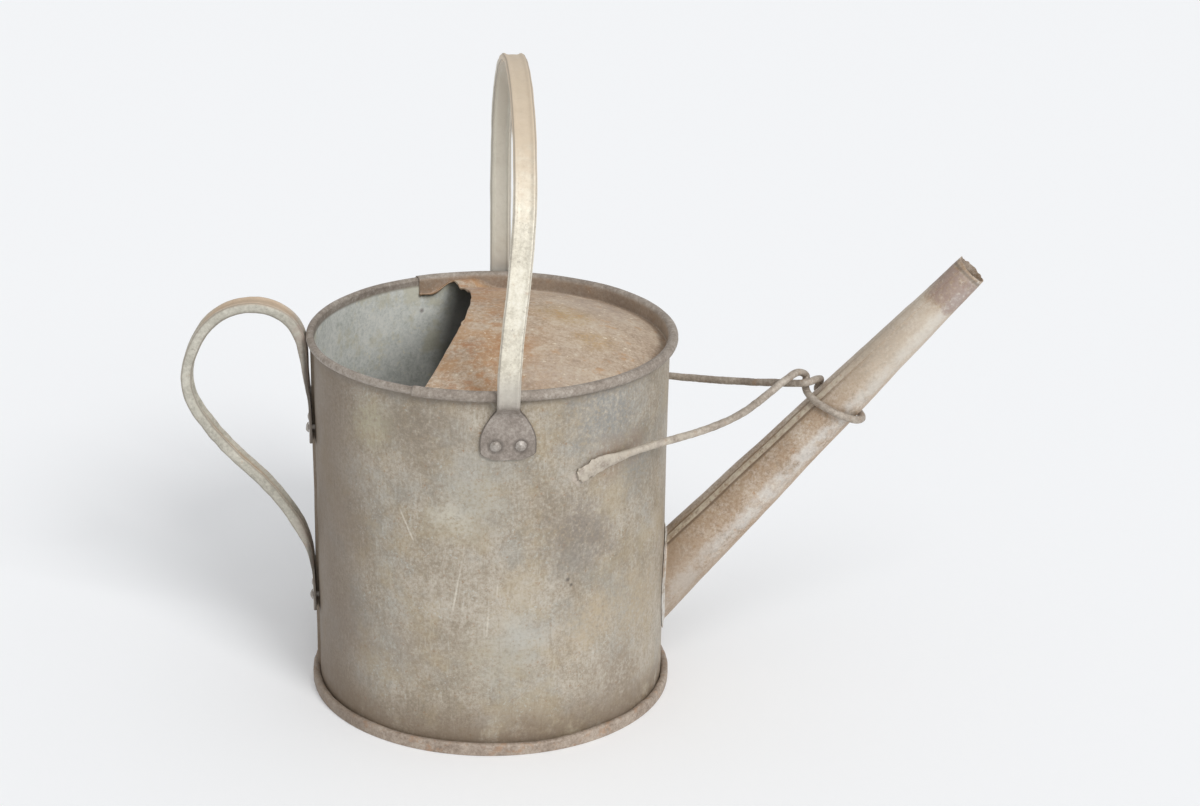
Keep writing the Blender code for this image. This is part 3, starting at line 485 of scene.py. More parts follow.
def base_mesh():
    """Round plate turned about the axis: flat underside, rolled band, and back under the flange."""
    inside = BODY_RADIUS + FOOT_FOLD_GAP
    outside = inside + 2 * BASE_SHEET + SHEET + 2 * FOOT_FOLD_GAP
    fold = (outside - inside) / 2
    centre = (inside + fold, FOOT_BAND_HEIGHT - fold)
    tuck = BASE_SHEET + FIT_GAP + SHEET + FOOT_FOLD_GAP
    flat = outside - BASE_SHEET
    shares = np.linspace(0.0, 1.0, 12)[:, None]
    under = np.concatenate([
        shares * (flat, 0.0), arc((flat, BASE_SHEET), BASE_SHEET, -80, 0, 5),
        np.linspace((outside, 1.2 * BASE_SHEET), (outside, centre[1]), 6), arc(centre, fold, 8, 180, 18),
        [(inside, tuck)]])
    closing = (FOOT_FOLD_GAP - FOOT_SLIT) / fold
    under[:, 0] -= closing * np.clip(centre[0] - under[:, 0], 0.0, fold) * (under[:, 1] > centre[1])
    over = np.concatenate([
        shares * (flat, 0.0) + (0.0, BASE_SHEET), arc(centre, fold - BASE_SHEET, 0, 180, 18),
        [(inside + BASE_SHEET, tuck)]])
    profile = np.concatenate([under, over[::-1]])
    angle = np.linspace(0.0, TAU, BASE_COLUMNS, endpoint=False)[None, :]
    radius, height = profile[:, :1], profile[:, 1:]
    ring = turned(radius, angle, height)
    worn = (radius > BODY_RADIUS) * np.clip(height / FOOT_BAND_HEIGHT, 0.0, 1.0)
    notch = bump_at(ring, on_wall(*FOOT_NOTCH, outside), 4.5)
    lumps = worn * relief(ring, FOOT_LUMPS)
    reach = radius + lumps - 0.8 * MM * worn * notch
    rise = height + worn * 0.25 * MM * ripple(ring, 34, 10)
    points = turned(reach, angle, rise)
    return grid_mesh("folded_base", points, wrap_columns=True)


# Cover

def mouth_edge(angle, lip):
    """Plan of the cover's cut: two half parabolas from rim to rim, then a lip along the rim."""
    near = lip * np.array((math.cos(COVER_WRAP_ANGLE), -math.sin(COVER_WRAP_ANGLE)))
    far_lip = lip - TONGUE_LIP
    far = far_lip * np.array((math.cos(COVER_TONGUE_ANGLE), math.sin(COVER_TONGUE_ANGLE)))
    share = np.clip((angle + COVER_WRAP_ANGLE) / (COVER_TONGUE_ANGLE + COVER_WRAP_ANGLE), 0.0, 1.0)
    y = near[1] + (far[1] - near[1]) * share
    end = np.where((y < MOUTH_CENTRE_Y)[:, None], near, far)
    bend = (y - MOUTH_CENTRE_Y) / (end[:, 1] - MOUTH_CENTRE_Y)
    x = -MOUTH_REACH + (end[:, 0] + MOUTH_REACH) * bend ** 2
    rounded = np.stack([np.cos(angle), np.sin(angle)], -1)
    width = far_lip + TONGUE_LIP * np.clip((angle - COVER_WRAP_ANGLE + 0.03) / 0.03, 0.0, 1.0)
    return np.where((angle > COVER_TONGUE_ANGLE)[:, None], rounded * width[:, None],
                    np.stack([x, y], -1))


def cover_mesh():
    """Dome ruled from the cut edge to the rim, then down-turned lip, skirt and rolled rim.

    Across each ruling the height is the dome's parabola of the distance from the axis. The rim
    rows leave the dome at a soft bend, rise as the skirt and wrap the bead, where the sheet's end
    angle wanders as worn metal does.
    """
    angle = np.linspace(-COVER_WRAP_ANGLE, COVER_WRAP_ANGLE, COVER_COLUMNS)
    start = SKIRT_RADIUS - 0.8 * MM
    rays = np.stack([np.cos(angle), np.sin(angle)], -1)
    cut = mouth_edge(angle, start)
    cut_3d = np.concatenate([cut, np.zeros((len(cut), 1))], -1)
    cut = cut + rays * np.array((-1.0, 0.0)) * 0.25 * MM * ripple(cut_3d, 9, 15)[:, None]
    share = np.linspace(0.0, 1.0, COVER_ROWS)
    share = (share - np.sin(TAU * share) / TAU * EDGE_CROWDING)[:, None, None]
    plan = cut + (rays * start - cut) * share
    distance = np.linalg.norm(plan, axis=-1)
    dome = np.concatenate([plan, np.zeros(plan.shape[:2] + (1,))], -1)
    height = COVER_EDGE_Z + COVER_RISE * (1.0 - (distance / SKIRT_RADIUS) ** 2)
    calm = np.clip((SKIRT_RADIUS - distance) / (16 * MM), 0.0, 1.0)
    worn = relief(dome, COVER_RIPPLES)
    for place, radius, depth in COVER_DENTS:
        worn = worn - depth * MM * bump_at(dome, place, radius)
    dome[..., 2] = height + calm * worn

    drop = LIP_DROPS[:, None] * (0.85 + 0.35 * ripple(cut_3d, 14, 16))
    tuck = LIP_TUCKS[:, None, None]
    inward = unit(rays * start - cut + 1e-6)
    degrees = np.degrees(angle)
    lift = (TONGUE_ARCH * np.exp(-((degrees - ARCH_PLACE) / ARCH_SPREAD) ** 4)
            - TONGUE_SAG * np.exp(-((degrees - SAG_PLACE) / SAG_SPREAD) ** 2))
    dome[..., 2] += lift * np.clip(1.0 - (SKIRT_RADIUS - distance) / TONGUE_FADE, 0.0, 1.0)
    lip = np.concatenate([cut + inward * tuck, (dome[0, :, 2] - drop)[..., None]], -1)

    bend = [(SKIRT_RADIUS - 0.4 * MM, COVER_EDGE_Z + 0.18 * MM),
            (SKIRT_RADIUS - 0.1 * MM, COVER_EDGE_Z + 0.3 * MM), (SKIRT_RADIUS, COVER_EDGE_Z + 0.8 * MM)]
    skirt = np.linspace((SKIRT_RADIUS, COVER_EDGE_Z + 1.6 * MM), (SKIRT_RADIUS, BEAD_CENTRE_Z), 6)
    fixed = np.concatenate([bend, skirt])
    edge_points = np.concatenate([rays, np.zeros((len(rays), 1))], -1) * BODY_RADIUS
    last = np.radians(WRAP_END - 9.0 * ripple(edge_points, 6, 17) - 8.0 * ripple(edge_points, 30, 18))
    turn = math.pi + (last - math.pi) * np.linspace(0.0, 1.0, WRAP_ROWS)[1:, None]
    turned = np.stack([BEAD_CENTRE_R + WRAP_RADIUS * np.cos(turn),
                       BEAD_CENTRE_Z + WRAP_RADIUS * np.sin(turn)], -1)
    upright = np.broadcast_to(fixed[:, None], (len(fixed), len(angle), 2)).copy()
    upright[..., 1] += lift * (BEAD_CENTRE_Z - upright[..., 1]) / (BEAD_CENTRE_Z - COVER_EDGE_Z)
    rim = np.concatenate([upright, turned])
    dimples = 0.06 * MM * ripple(edge_points, 8, 19) * np.clip((rim[..., 1] - 218 * MM) / (4 * MM), 0, 1)
    reach = rim[..., :1] + np.minimum(dimples, 0.06 * MM)[..., None]
    rise = rim[..., 1:] + np.clip((rim[..., 1:] - 216 * MM) / (6 * MM), 0, 1) * rim_wander(angle)[:, None]
    rolled = np.concatenate([reach * rays, rise], -1)
    return grid_mesh("cover_sheet", np.concatenate([lip, dome, rolled]))


# Handles

def foot_half_width(share, foot_width):
    """Half width of a spade foot: a sine from the neck at 0, blunted towards its end at 1."""
    neck = STRAP_WIDTH / 2
    grown = neck + (foot_width / 2 - neck) * np.sin(np.pi / 2 * np.clip(share / 0.72, 0.0, 1.0))
    return grown * (1.0 - 0.5 * np.clip((share - 0.86) / 0.14, 0.0, 1.0) ** 2)


def strap_mesh(name, centre, outward, half_width, flatness, strap_height, seat, seed):
    """Strap section carried along a path, flattened to a plain foot and bent round the wall.

    The section is a smooth closed curve through its corner shares. The seat says on which axis
    a foot's points move to the wall's circle, its radius, the side of the can, and which way
    the section's top faces there, 1 for outwards. Ripples give the hammered face.
    """
    section = curve_through(STRAP_SECTION, SECTION_POINTS, closed=True, measured=2)
    rolled = (section[:, 1] - 0.5) * strap_height
    plain = np.clip((section[:, 1] - 0.45) * 8.0, -1.0, 1.0) * FOOT_THICKNESS / 2
    height = rolled * (1.0 - flatness[:, None]) + plain * flatness[:, None]
    axis, radius, side, facing = seat
    across = np.eye(3)[1 - axis]
    points = (centre[:, None] + across * (section[:, 0] * half_width[:, None])[..., None]
              + outward[:, None] * height[..., None])
    reach = radius + height * facing[:, None]
    bent = side[:, None] * np.sqrt(np.maximum(reach ** 2 - points[..., 1 - axis] ** 2, 0.0))
    share = np.clip((flatness[:, None] - 0.85) / 0.15, 0.0, 1.0)
    points[..., axis] = points[..., axis] * (1.0 - share) + bent * share
    worn = relief(points, ((0.10, 13, seed), (0.05, 5, seed + 1)))
    worn = worn * (1.0 - flatness[:, None]) * np.sign(section[:, 1] - 0.5)
    points = points + outward[:, None] * worn[..., None]
    edge = np.abs(section[:, 0])
    points = points + across * (0.14 * MM * ripple(points, 21, seed + 2) * edge ** 4)[..., None]
    return grid_mesh(name, points, wrap_columns=True, capped=True, marks={"strap_edge": edge})


def bail_bow(distance):
    """Sideways bow of the hoop: a raised cosine of the distance from its top, near side negative."""
    offset = distance + BAIL_BOW_PEAK
    span = np.where(offset < 0, BAIL_BOW_NEAR_SPAN, BAIL_BOW_FAR_SPAN)
    return BAIL_BOW * (1.0 + np.cos(np.pi * np.clip(offset / span, -1.0, 1.0))) / 2


def bail_mesh():
    """Hoop from foot to foot: straight feet and legs, and half a circle over the top."""
    crease = RIM_HEIGHT - BAIL_CREASE_DROP
    span = BEAD_CENTRE_R + WRAP_RADIUS + FIT_GAP + BAIL_STRAP_HEIGHT / 2
    spring = RIM_HEIGHT + BAIL_LEG_HEIGHT
    shares = np.array([1.0, 0.93, 0.86, 0.72, 0.58, 0.44, 0.3, 0.15])
    foot = np.stack([np.full(8, BAIL_FOOT_RADIUS), crease - BAIL_FOOT_LENGTH * shares, shares,
                     np.ones(8)], -1)
    bend = [((BAIL_FOOT_RADIUS + span) / 2, crease + BAIL_CREASE_DROP * 0.1, 0.0, 0.45),
            (span, crease + BAIL_CREASE_DROP * 0.45, 0.0, 0.0)]
    leg = [(span, RIM_HEIGHT + BAIL_LEG_HEIGHT * share, 0.0, 0.0) for share in (0.0, 0.33, 0.66)]
    turn = np.linspace(0.0, np.pi / 2, 14)
    quarter = np.stack([span * np.cos(turn), spring + span * np.sin(turn), 0 * turn, 0 * turn], -1)
    near = np.concatenate([foot, bend, leg, quarter])
    far = near[-2::-1] * (-1.0, 1.0, 1.0, 1.0)
    stations = curve_through(np.concatenate([near, far]) * (-1.0, 1.0, 1.0, 1.0), HOOP_STEPS, measured=2)
    y, z, share, flat = stations.T
    distance = length_to(stations[:, :2])
    slope = unit(np.gradient(stations[:, :2], axis=0))
    centre = np.stack([BAIL_X + bail_bow(distance - distance[-1] / 2), y, z], -1)
    outward = np.stack([0 * y, -slope[:, 1], slope[:, 0]], -1)
    half = foot_half_width(np.clip(share, 0.0, 1.0), BAIL_FOOT_WIDTH)
    seat = (1, BAIL_FOOT_RADIUS, np.sign(y), np.ones(len(y)))
    flat = np.clip(flat, 0.0, 1.0)
    return strap_mesh("hoop_handle", centre, outward, half, flat, BAIL_STRAP_HEIGHT, seat, 30)


def rear_mesh():
    """Strap from the upper foot round the loop to the lower foot, in the plane y = 0.

    The upper foot lies with the strap's outer face to the wall, so its heights count inwards.
    """
    shares = np.array([1.0, 0.93, 0.86, 0.72, 0.5, 0.25])
    foot_drop = REAR_FOOT_LENGTH * (1.0 - shares)
    upper, lower = [np.stack([np.full(6, -REAR_FOOT_RADIUS), RIM_HEIGHT - drop + foot_drop, shares,
                              np.ones(6)], -1) for drop in (REAR_UPPER_FOOT_DROP, REAR_LOWER_FOOT_DROP)]
    flat = np.zeros(len(REAR_LOOP))
    flat[[0, 1, -1]] = (0.6, 0.25, 0.5)
    loop = np.stack([-BODY_RADIUS - REAR_LOOP[:, 0], RIM_HEIGHT - REAR_LOOP[:, 1], 0 * flat, flat], -1)
    stations = curve_through(np.concatenate([upper, loop, lower[::-1]]), LOOP_STEPS, measured=2)
    x, z, share, flat = stations.T
    slope = unit(np.gradient(stations[:, :2], axis=0))
    centre = np.stack([x, 0 * x, z], -1)
    outward = np.stack([slope[:, 1], 0 * x, -slope[:, 0]], -1)
    half = foot_half_width(np.clip(share, 0.0, 1.0), REAR_FOOT_WIDTH)
    facing = np.where(np.arange(len(x)) < len(x) // 2, -1.0, 1.0)
    seat = (0, REAR_FOOT_RADIUS, -np.ones(len(x)), facing)
    flat = np.clip(flat, 0.0, 1.0)
    return strap_mesh("strap_handle", centre, outward, half, flat, REAR_STRAP_HEIGHT, seat, 40)


# Rivets

def rivet_mesh(name, node, seed):
    """Domed head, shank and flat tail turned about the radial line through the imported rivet."""
    low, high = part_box(node)
    middle = (low + high) / 2
    outward = Vector((middle.x, middle.y, 0.0)).normalized()
    rear = abs(middle.y) < abs(middle.x)
    seat = (REAR_FOOT_RADIUS if rear else BAIL_FOOT_RADIUS) + FOOT_THICKNESS / 2 + FIT_GAP
    stack = FOOT_THICKNESS + SHEET + 3 * FIT_GAP + (SEAM_HEIGHT if rear else 0.0)
    dome = (RIVET_HEAD_RADIUS ** 2 + RIVET_HEAD_HEIGHT ** 2) / (2 * RIVET_HEAD_HEIGHT)
    rim = math.degrees(math.asin(RIVET_HEAD_RADIUS / dome))
    profile = np.concatenate([
        arc((0.0, RIVET_HEAD_HEIGHT - dome), dome, 90.0, 90.0 - rim, DOME_ROWS),
        [(RIVET_HEAD_RADIUS * 0.96, -RIVET_SINK), (RIVET_SHANK_RADIUS, -RIVET_SINK),
         (RIVET_SHANK_RADIUS, -stack), (RIVET_TAIL_RADIUS, -stack),
         (RIVET_TAIL_RADIUS * 0.8, -stack - RIVET_TAIL_HEIGHT), (0.0, -stack - RIVET_TAIL_HEIGHT)]])
    profile[0, 0] = 0.0
    angle = np.linspace(0.0, TAU, RIVET_COLUMNS, endpoint=False)[None, :]
    radius, height = profile[:, :1], profile[:, 1:]
    points = turned(radius, angle, height)
    head = np.clip(points[..., 2] / RIVET_HEAD_HEIGHT, 0.0, 1.0)
    points[..., 2] -= head * 0.22 * MM * (1.0 + ripple(points, 4.5, seed))
    points[..., :2] *= 1.0 + 0.05 * head[..., None] * ripple(points, 5, seed + 1)[..., None]
    turn = np.array(outward.to_track_quat("Z", "Y").to_matrix())
    place = np.array(outward) * seat + np.array((0.0, 0.0, middle.z))
    return grid_mesh(name, points @ turn.T + place, wrap_columns=True)


# Spout

def spout_radius(place):
    """Outer radius of the tube at a place along it, in a straight taper."""
    return SPOUT_ROOT_RADIUS + (SPOUT_TIP_RADIUS - SPOUT_ROOT_RADIUS) * place / SPOUT_LENGTH


def spout_ray(angle):
    """Direction out from the spout's axis at an angle, 0 at its top and growing to the near side."""
    return np.cos(angle)[..., None] * SPOUT_UP + np.sin(angle)[..., None] * NEAR_SIDE


def spout_point(angle, place, extra):
    """Point round and along the spout, at some extra height over its outer radius."""
    ray = spout_ray(angle)
    reach = (spout_radius(place) + extra)[..., None]
    return SPOUT_ROOT + place[..., None] * SPOUT_AXIS + reach * ray


def spout_meets_wall(angle, extra, radius):
    """Place along the spout where a ruling of its cone meets a cylinder about the can's axis.

    The ruling is a straight line, so its squared distance from the axis is a quadratic in the
    place, and the larger root is the one on the spout's side.
    """
    ray = spout_ray(angle)
    taper = (SPOUT_TIP_RADIUS - SPOUT_ROOT_RADIUS) / SPOUT_LENGTH
    reach = (SPOUT_ROOT_RADIUS + extra + 0 * angle)[..., None]
    start = (SPOUT_ROOT + reach * ray)[..., :2]
    step = (SPOUT_AXIS + taper * ray)[..., :2]
    a = np.sum(step * step, -1)
    b = 2 * np.sum(start * step, -1)
    c = np.sum(start * start, -1) - radius ** 2
    return (-b + np.sqrt(b * b - 4 * a * c)) / (2 * a)


def spout_mesh():
    """Tapered tube as a closed section: up the bore, round the mouth's lip and down the outside.

    Columns keep to the lap seam's true width while the tube narrows. The mouth's end leans to
    the near side and is ragged, and the root follows the wall, with a thin flange on it.
    """
    lap = LAP_ACROSS * SPOUT_LAP_WIDTH / 2
    rest = np.linspace(0.0, 1.0, SPOUT_COLUMNS)[1:-1]
    first_outside = BORE_ROWS + len(FLANGE_STEPS)
    share = np.concatenate([np.linspace(1.0, 0.0, BORE_ROWS), np.zeros(len(FLANGE_STEPS)),
                            np.linspace(0.0, 1.0, SKIN_ROWS)])
    row = np.arange(len(share))[:, None]
    skin = np.where(row < BORE_ROWS, -SPOUT_SHEET, 0.0)
    width = lap[-1] / spout_radius(share * SPOUT_LENGTH)[:, None]
    lap_angles = lap / spout_radius(share * SPOUT_LENGTH)[:, None]
    angle = SPOUT_LAP_ANGLE + np.concatenate([lap_angles, width + (TAU - 2 * width) * rest], axis=1)
    seat = BODY_RADIUS + FIT_GAP
    top = seat + SPOUT_FLANGE_SHEET
    root = np.where(row < BORE_ROWS, spout_meets_wall(angle, skin, seat),
                    spout_meets_wall(angle, 0 * angle, top + 1.1 * MM))
    extra = np.broadcast_to(skin, angle.shape).copy()
    side = np.sin(angle) * spout_radius(SPOUT_LENGTH)
    tip = spout_point(angle, np.full(angle.shape, SPOUT_LENGTH), 0 * angle)
    far = np.clip(-np.sin(angle), 0.0, 1.0)
    ragged = (0.25 + 0.75 * far) * MM * (0.55 * ripple(tip, 7, 50) + 0.3 * ripple(tip, 3, 51))
    end = SPOUT_LENGTH - side * math.tan(SPOUT_MOUTH_TILT) + ragged - 0.3 * MM
    place = root + (end - root) * share[:, None]
    for step, (out, rise) in enumerate(FLANGE_STEPS, start=BORE_ROWS):
        extra[step] = out
        place[step] = spout_meets_wall(angle[step], extra[step], seat + rise)
    ridge = np.concatenate([LAP_SHARES * SPOUT_LAP_HEIGHT, np.zeros(len(rest))])
    clear = np.clip((SPOUT_LENGTH + 5 * MM - place) / (5 * MM), 0.0, 1.0)
    points = spout_point(angle, place, extra)
    dents = -0.16 * MM * (1 + ripple(points, 48, 52)) + 0.05 * MM * ripple(points, 11, 53)
    flat = -SPOUT_DENT_DEPTH * bump_at(points, spout_point(*SPOUT_DENT), 13)
    away = np.clip((place - root - 6 * MM) / (30 * MM), 0.0, 1.0)
    ring = np.abs(place - BRACE_RING_PLACE) / (22 * MM)
    on_flange = (row >= BORE_ROWS) & (row < first_outside)
    away = np.where(on_flange, 0.0, away * np.clip(ring, 0.25, 1.0))
    extra = extra + (row >= first_outside) * ridge * clear + (dents + flat) * away
    marks = {"along_spout": np.clip(place / SPOUT_LENGTH, 0.0, 1.0),
             "round_spout": (angle - SPOUT_LAP_ANGLE) / TAU,
             "lap_seam": np.concatenate([np.abs(lap) / lap[-1], np.ones(len(rest))]),
             "flange": on_flange}
    return grid_mesh("spout_tube", spout_point(angle, place, extra), True, True, marks=marks)


# Brace

def brace_path():
    """Wire from the near foot up to its hook, round the spout, and back to the far foot."""
    radius = BODY_RADIUS + FIT_GAP + BRACE_FOOT_HALF_THICKNESS
    angles = np.linspace(BRACE_FOOT_START, BRACE_FOOT_END, 4)
    legs = []
    for side, drop in zip((-1, 1), BRACE_FOOT_DROPS):
        heights = RIM_HEIGHT - drop + BRACE_FOOT_RISE * np.linspace(0.0, 1.0, len(angles))
        foot = np.stack([radius * np.cos(angles), side * radius * np.sin(angles), heights], -1)
        tangent = np.array((math.sin(BRACE_FOOT_END), -side * math.cos(BRACE_FOOT_END), 0.08))
        run = foot[-1] + tangent * BRACE_FOOT_TAPER * np.array((0.5, 1.0))[:, None]
        legs.append(np.concatenate([foot, run]))
    centre = SPOUT_ROOT + SPOUT_AXIS * BRACE_RING_PLACE
    ring = spout_radius(BRACE_RING_PLACE) + SPOUT_LAP_HEIGHT + FIT_GAP + BRACE_WIRE_RADIUS
    lean = SPOUT_UP * math.cos(BRACE_RING_TILT) - SPOUT_AXIS * math.sin(BRACE_RING_TILT)
    turn = np.linspace(BRACE_RING_START, BRACE_RING_END, 12)[:, None]
    loop = centre + lean * ring / math.cos(BRACE_RING_TILT) * np.cos(turn) + NEAR_SIDE * ring * np.sin(turn)
    hooks = [centre + hook[:, :1] * SPOUT_AXIS + hook[:, 1:2] * -NEAR_SIDE + (ring + hook[:, 2:]) * SPOUT_UP
             for hook in (BRACE_NEAR_HOOK, BRACE_FAR_HOOK)]
    return curve_through(np.concatenate([legs[0], hooks[0], loop, hooks[1], legs[1][::-1]]), WIRE_STEPS)


def brace_mesh():
    """Round section carried along the wire, pressed flat and wide at both soldered feet.

    The section's broad side follows +Z along the legs and the spout's axis round the ring, so it
    is never along the wire itself.
    """
    path = brace_path()
    slope = unit(np.gradient(path, axis=0))
    place = length_to(path)
    from_end = np.minimum(place, place[-1] - place)
    foot = BODY_RADIUS * (BRACE_FOOT_START - BRACE_FOOT_END)
    round_share = np.clip((from_end - foot) / BRACE_FOOT_TAPER, 0.0, 1.0)[:, None]
    inner = np.clip((from_end / place[-1] - 0.18) / 0.12, 0.0, 1.0)[:, None]
    wanted = np.array((0.0, 0.0, 1.0)) * (1.0 - inner) + SPOUT_AXIS * inner
    wide = unit(wanted - slope * np.sum(wanted * slope, -1, keepdims=True))
    thin = np.cross(wide, slope)
    turn = np.linspace(0.0, TAU, WIRE_POINTS, endpoint=False)
    thick = BRACE_FOOT_HALF_THICKNESS + (BRACE_WIRE_RADIUS - BRACE_FOOT_HALF_THICKNESS) * round_share
    broad = BRACE_FOOT_HALF_WIDTH + (BRACE_WIRE_RADIUS - BRACE_FOOT_HALF_WIDTH) * round_share
    tip = np.clip(from_end / (1.6 * MM), 0.5, 1.0)[:, None]
    broad = broad * tip * (1.0 + TORN_SPREAD * (1.0 - round_share))
    thick = thick * np.minimum(tip + 0.3, 1.0)
    points = (path[:, None] + thin[:, None] * (thick * np.cos(turn))[..., None]
              + wide[:, None] * (broad * np.sin(turn))[..., None])
    outward = unit(points - path[:, None])
    worn = relief(points, WIRE_LUMPS) - 0.04 * MM
    torn = np.clip(1.0 - from_end / (foot + 4 * MM), 0.0, 1.0)[:, None]
    worn = worn + torn * TORN_DEPTH * ripple(points, 4, 62) * np.abs(np.sin(turn))
    return grid_mesh("wire_brace", points + outward * worn[..., None], wrap_columns=True, capped=True)


# Materials

def linear(code):
    """Linear colour of an sRGB hex code."""
    channels = [int(code[i:i + 2], 16) / 255.0 for i in (0, 2, 4)]
    return [c / 12.92 if c <= 0.04045 else ((c + 0.055) / 1.055) ** 2.4 for c in channels] + [1.0]


def add(tree, kind, inputs=None, out=0, stops=None, **settings):
    """Adds a node with its settings and links, and gives one of its outputs.

    Inputs are values, hex colours or other nodes' outputs, and stops are a ramp's colours.
    """
    node = tree.nodes.new("ShaderNode" + kind)
    for name, value in settings.items():
        setattr(node, name, value)
    for key, value in (inputs or {}).items():
        if isinstance(value, bpy.types.NodeSocket):
            tree.links.new(value, node.inputs[key])
        else:
            node.inputs[key].default_value = linear(value) if isinstance(value, str) else value
    for index, (place, code) in enumerate(stops or []):
        ramp = node.color_ramp.elements
        element = ramp[index] if index < 2 else ramp.new(place)
        element.position = place
        element.color = linear(code)
    return node.outputs[out]


def patches(tree, coords, size, low, high, detail=5.0, rough=0.7):
    """Share of ragged patches about one size in mm: noise, kept where it passes low to high."""
    level = add(tree, "TexNoise", {"Vector": coords, "Scale": 1.0 / (size * MM), "Detail": detail,
                                   "Roughness": rough})
    return add(tree, "MapRange", {0: level, 1: low, 2: high}, **SMOOTH)


def share_of(tree, coords, share):
    """One share of a film, as an output or a number.

    A number or an output counts as it is. Three values are a soft step from 0 to 1: of an output
    between two levels, of an axis between two places in mm, or of patches of a size in mm.
    """
    if not isinstance(share, tuple):
        return share
    source, low, high = share
    if isinstance(source, (int, float)):
        return patches(tree, coords, source, low, high)
    if isinstance(source, str):
        source = add(tree, "SeparateXYZ", {0: coords}, "XYZ".index(source))
        low, high = low * MM, high * MM
    return add(tree, "MapRange", {0: source, 1: low, 2: high}, **SMOOTH)


def films(tree, coords, base, *layers):
    """Lays films over a base in turn: each is a colour, then the shares that are multiplied."""
    for colour, *shares in layers:
        levels = [share_of(tree, coords, share) for share in shares]
        total = levels[0]
        for level in levels[1:]:
            total = add(tree, "Math", {0: total, 1: level}, operation="MULTIPLY")
        base = add(tree, "Mix", {0: total, 6: base, 7: colour}, 2, data_type="RGBA")
    return base


def mottled(tree, coords, tones, blotch, patch, grain):
    """Dull zinc: stains of two sizes and a fine grain, summed and read through a ramp of tones.

    Sizes are in mm. It gives the tone, and the smaller stains and the grain, which also drive
    roughness and relief.
    """
    sizes = ((blotch, 6.0, 0.6), (patch, 5.0, 0.68), (grain, 4.0, 0.8))
    levels = [add(tree, "TexNoise", {"Vector": coords, "Scale": 1.0 / (size * MM), "Detail": detail,
                                     "Roughness": rough}) for size, detail, rough in sizes]
    total = add(tree, "Math", {0: levels[0], 1: BLOTCH_SHARE}, operation="MULTIPLY")
    for level, share in zip(levels[1:], (PATCH_SHARE, GRAIN_SHARE)):
        total = add(tree, "Math", {0: level, 1: share, 2: total}, operation="MULTIPLY_ADD")
    return add(tree, "ValToRGB", {0: total}, stops=tones), levels[1], levels[2]


class Metal:
    """A worn metal in the making: its tree, its coordinates and the colour laid so far."""

    def __init__(self, name, tones, *sizes):
        self.material = bpy.data.materials.new(name)
        self.material.use_nodes = True
        self.tree = self.material.node_tree
        self.sockets = self.tree.nodes["Principled BSDF"].inputs
        self.coords = add(self.tree, "TexCoord", out="Object")
        self.colour, self.small, self.fine = mottled(self.tree, self.coords, tones, *sizes)

    def lay(self, *layers):
        """Lays films over the colour so far."""
        self.colour = films(self.tree, self.coords, self.colour, *layers)

    def finish(self, metallic, smooth, dull, relief):
        """Links the colour, a roughness from smooth to dull by the stains, and pits in mm."""
        rough = add(self.tree, "MapRange", {0: self.small, 1: 0.3, 2: 0.7, 3: smooth, 4: dull})
        height = add(self.tree, "Math", {0: self.fine, 1: 0.8, 2: self.small}, operation="MULTIPLY_ADD")
        normal = add(self.tree, "Bump", {"Height": height, "Strength": 0.4, "Distance": relief * MM})
        self.sockets["Metallic"].default_value = metallic
        for socket, output in (("Base Color", self.colour), ("Roughness", rough), ("Normal", normal)):
            self.tree.links.new(output, self.sockets[socket])
        return self.material


def stain(tree, coords, place, radius, ragged):
    """Soft round patch of a radius in mm, its outline moved in and out by a ragged noise."""
    reach = radius * MM
    gap = add(tree, "VectorMath", {0: coords, 1: tuple(place)}, "Value", operation="DISTANCE")
    gap = add(tree, "Math", {0: ragged, 1: reach * STAIN_RAGGED, 2: gap}, operation="MULTIPLY_ADD")
    return add(tree, "MapRange", {0: gap, 1: reach * STAIN_END, 2: reach * STAIN_CORE}, **SMOOTH)


def scratch(tree, coords, start, end):
    """Straight scratch: close to its line, and fading at both ends."""
    length = float(np.linalg.norm(end - start))
    along = tuple((end - start) / length)
    offset = add(tree, "VectorMath", {0: coords, 1: tuple(start)}, operation="SUBTRACT")
    run = add(tree, "VectorMath", {0: offset, 1: along}, "Value", operation="DOT_PRODUCT")
    side = add(tree, "VectorMath", {0: offset, 1: along}, operation="CROSS_PRODUCT")
    gap = add(tree, "VectorMath", {0: side}, "Value", operation="LENGTH")
    middle = add(tree, "Math", {0: run, 1: length / 2}, operation="SUBTRACT")
    middle = add(tree, "Math", {0: middle}, operation="ABSOLUTE")
    line = add(tree, "MapRange", {0: gap, 1: SCRATCH_WIDTH, 2: SCRATCH_WIDTH * 0.3}, **SMOOTH)
    ends = add(tree, "MapRange", {0: middle, 1: length * 0.5, 2: length * 0.3}, **SMOOTH)
    return add(tree, "Math", {0: line, 1: ends}, operation="MULTIPLY")


